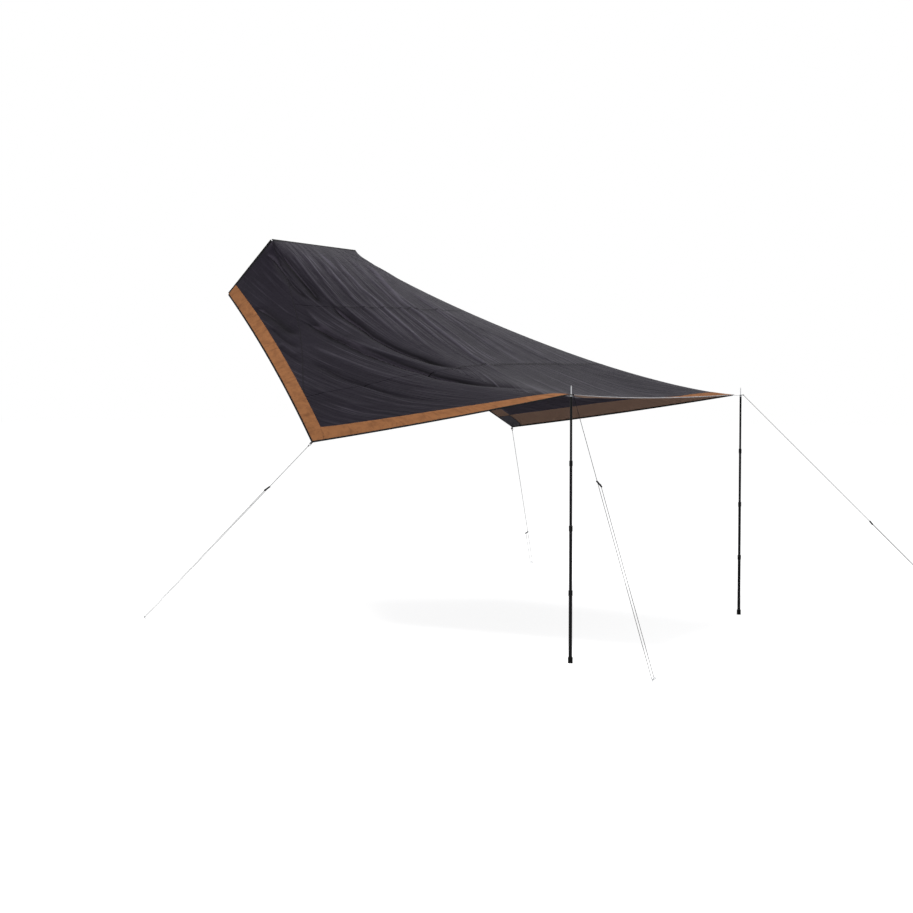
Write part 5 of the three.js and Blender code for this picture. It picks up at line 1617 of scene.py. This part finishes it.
def footProfile():
    low = -pole["height"]
    high = low + pole["footHeight"]
    bore = pole["tubeRadii"][-1] + pole["gap"]
    radius = pole["footRadius"]
    waist = [(radius, low + 0.014), (radius - 0.0009, low + 0.0165), (radius, low + 0.019),
             (radius - 0.0009, low + 0.0215), (radius, low + 0.024)]
    rim = [(radius, high - 0.004), (radius - 0.0028, high), (bore, high), (bore, low + pole["footBase"]),
           (0, low + pole["footBase"])]
    tread = [(0, low + 0.0012), (0.008, low + 0.0012), (0.0088, low), (0.0125, low), (0.0133, low + 0.0012),
             (0.0148, low + 0.0012), (0.0156, low)]
    return rounded(tread + [(radius, low), *waist, *rim], 0.0012, 2)


def eyeletProfile():
    low = math.sqrt(pole["dome"] ** 2 - pole["eyeletBore"] ** 2) + pole["gap"]
    high = low + 2 * pole["eyeletPlate"] + pole["web"] + 2 * pole["gap"]
    bore, flange, plate = pole["eyeletBore"], pole["eyeletFlange"], pole["eyeletPlate"]
    barrel = bore + pole["eyeletWall"]
    middle = (low + high) / 2
    outside = [(flange, low), (flange, low + plate), (barrel, low + plate), (barrel, high - plate),
               (flange, high - plate), (flange, high)]
    return rounded([(bore, middle), (bore, low), *outside, (bore, high), (bore, middle)], 0.0005, 3)


def buildPole(end, side):
    top = (net["poleRun"][side], side * net["poleHalf"], -net["poleTopDrop"])
    bodies = [end + "_pole_top", end + "_pole_second", end + "_pole_third", end + "_pole_bottom"]
    made = [linked(end + "PoleSpike", spunMesh(end + "PoleSpike", spikeProfile(), top),
                   bodies[0], "steel", [end + "_spike"])]
    for i in range(4):
        name = f"{end}PoleTube{i + 1}"
        mesh = spunMesh(name, tubeProfile(i), top)
        made.append(linked(name, mesh, bodies[i], "pole_tube", [f"{end}_tube_{i + 1}"]))
    for i in range(3):
        name = f"{end}PoleCollar{i + 1}"
        mesh = spunMesh(name, collarProfile(i), top, fluted(i))
        made.append(linked(name, mesh, f"{end}_twist_{i + 1}", "collar", [f"{end}_collar_{i + 1}"]))
    made.append(linked(end + "PoleFoot", spunMesh(end + "PoleFoot", footProfile(), top),
                       bodies[3], "rubber", [end + "_foot"]))
    made.append(linked(end + "CornerEyelet", spunMesh(end + "CornerEyelet", eyeletProfile(), top),
                       "canopy", "steel", [end + "_eyelet"]))
    for piece in made:
        sharpened(piece, 40)
    for i in range(3):
        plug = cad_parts[f"{end}_plug_{i + 1}"]
        plug.data.materials.clear()
        plug.data.materials.append(finishes["collar"])


for end, side in (("near", -1), ("far", 1)):
    buildPole(end, side)
print("poles made")

# Each end's gore seam strip and wing tab, looked up and left unused

for end, bead in (("near", sideBeads[0]), ("far", sideBeads[1])):
    seamStrips[end + "GoreSeam"]
    tabs[end + "_wing"]

# Studio

studio = {"floor": ground, "white": 0.60, "glow": 0.84, "horizon": 0.12, "zenith": 0.38}


def floorFinish():
    ground = Finish("paleFloor")
    seen = ground.node("ShaderNodeLightPath")
    glossy = Wire(ground, seen.socket.node.outputs["Is Glossy Ray"])
    clear = Wire(ground, seen.socket.node.outputs["Is Transmission Ray"])
    shown = seen.top(glossy).top(clear)
    white = tone(studio["white"], studio["white"], studio["white"])
    diffuse = ground.node("ShaderNodeBsdfDiffuse", None, {"Color": white})
    glow = ground.node("ShaderNodeEmission", None, {"Strength": shown * studio["glow"]})
    both = ground.node("ShaderNodeAddShader", None, {0: diffuse, 1: glow})
    ground.node("ShaderNodeOutputMaterial", None, {0: both})
    return ground.material


def buildStudio():
    work = bmesh.new()
    bmesh.ops.create_grid(work, x_segments=1, y_segments=1, size=90)
    bmesh.ops.translate(work, verts=work.verts, vec=(2.0, 0.0, studio["floor"]))
    mesh = bpy.data.meshes.new("floor")
    work.to_mesh(mesh)
    work.free()
    mesh.materials.append(floorFinish())
    floor = bpy.data.objects.new("floor", mesh)
    bpy.context.scene.collection.objects.link(floor)
    world = bpy.data.worlds.new("studio")
    bpy.context.scene.world = world
    world.use_nodes = True
    nodes, links = world.node_tree.nodes, world.node_tree.links
    nodes.clear()
    place, split = nodes.new("ShaderNodeTexCoord"), nodes.new("ShaderNodeSeparateXYZ")
    rising = nodes.new("ShaderNodeMapRange")
    links.new(place.outputs["Generated"], split.inputs[0])
    links.new(split.outputs[2], rising.inputs["Value"])
    rising.inputs["To Min"].default_value = studio["horizon"]
    rising.inputs["To Max"].default_value = studio["zenith"]
    path = nodes.new("ShaderNodeLightPath")
    shown = path.outputs["Is Camera Ray"]
    for kind in ("Is Glossy Ray", "Is Transmission Ray"):
        either = nodes.new("ShaderNodeMath")
        either.operation = "MAXIMUM"
        links.new(shown, either.inputs[0])
        links.new(path.outputs[kind], either.inputs[1])
        shown = either.outputs[0]
    fill, backdrop = nodes.new("ShaderNodeBackground"), nodes.new("ShaderNodeBackground")
    links.new(rising.outputs[0], fill.inputs["Strength"])
    fill.inputs["Color"].default_value = tone(0.97, 0.98, 1.0)
    backdrop.inputs["Color"].default_value = tone(1.0, 1.0, 1.0)
    mixed, end = nodes.new("ShaderNodeMixShader"), nodes.new("ShaderNodeOutputWorld")
    links.new(shown, mixed.inputs[0])
    links.new(fill.outputs[0], mixed.inputs[1])
    links.new(backdrop.outputs[0], mixed.inputs[2])
    links.new(mixed.outputs[0], end.inputs[0])


lamps = {
    "overhead": {"place": (1.0, -4.6, 7.5), "aim": (1.7, -0.3, -1.4), "size": 3.6, "power": 950},
    "overheadBack": {"place": (0.5, 3.5, 7.0), "aim": (1.8, 0.0, -1.0), "size": 3.0, "power": 230},
    "keyLeft": {"place": (5.5, -10.0, 1.6), "aim": (2.2, -0.4, -1.6), "size": 3.0, "power": 50},
}


def buildLamps():
    for name, lamp in lamps.items():
        data = bpy.data.lights.new(name, "AREA")
        data.energy = lamp["power"]
        data.size = lamp["size"]
        light = bpy.data.objects.new(name, data)
        light.location = lamp["place"]
        aim = Vector(lamp["aim"]) - Vector(lamp["place"])
        light.rotation_euler = aim.to_track_quat("-Z", "Y").to_euler()
        bpy.context.scene.collection.objects.link(light)


buildStudio()
buildLamps()
bpy.context.scene.view_settings.view_transform = "Standard"
print("studio lit")
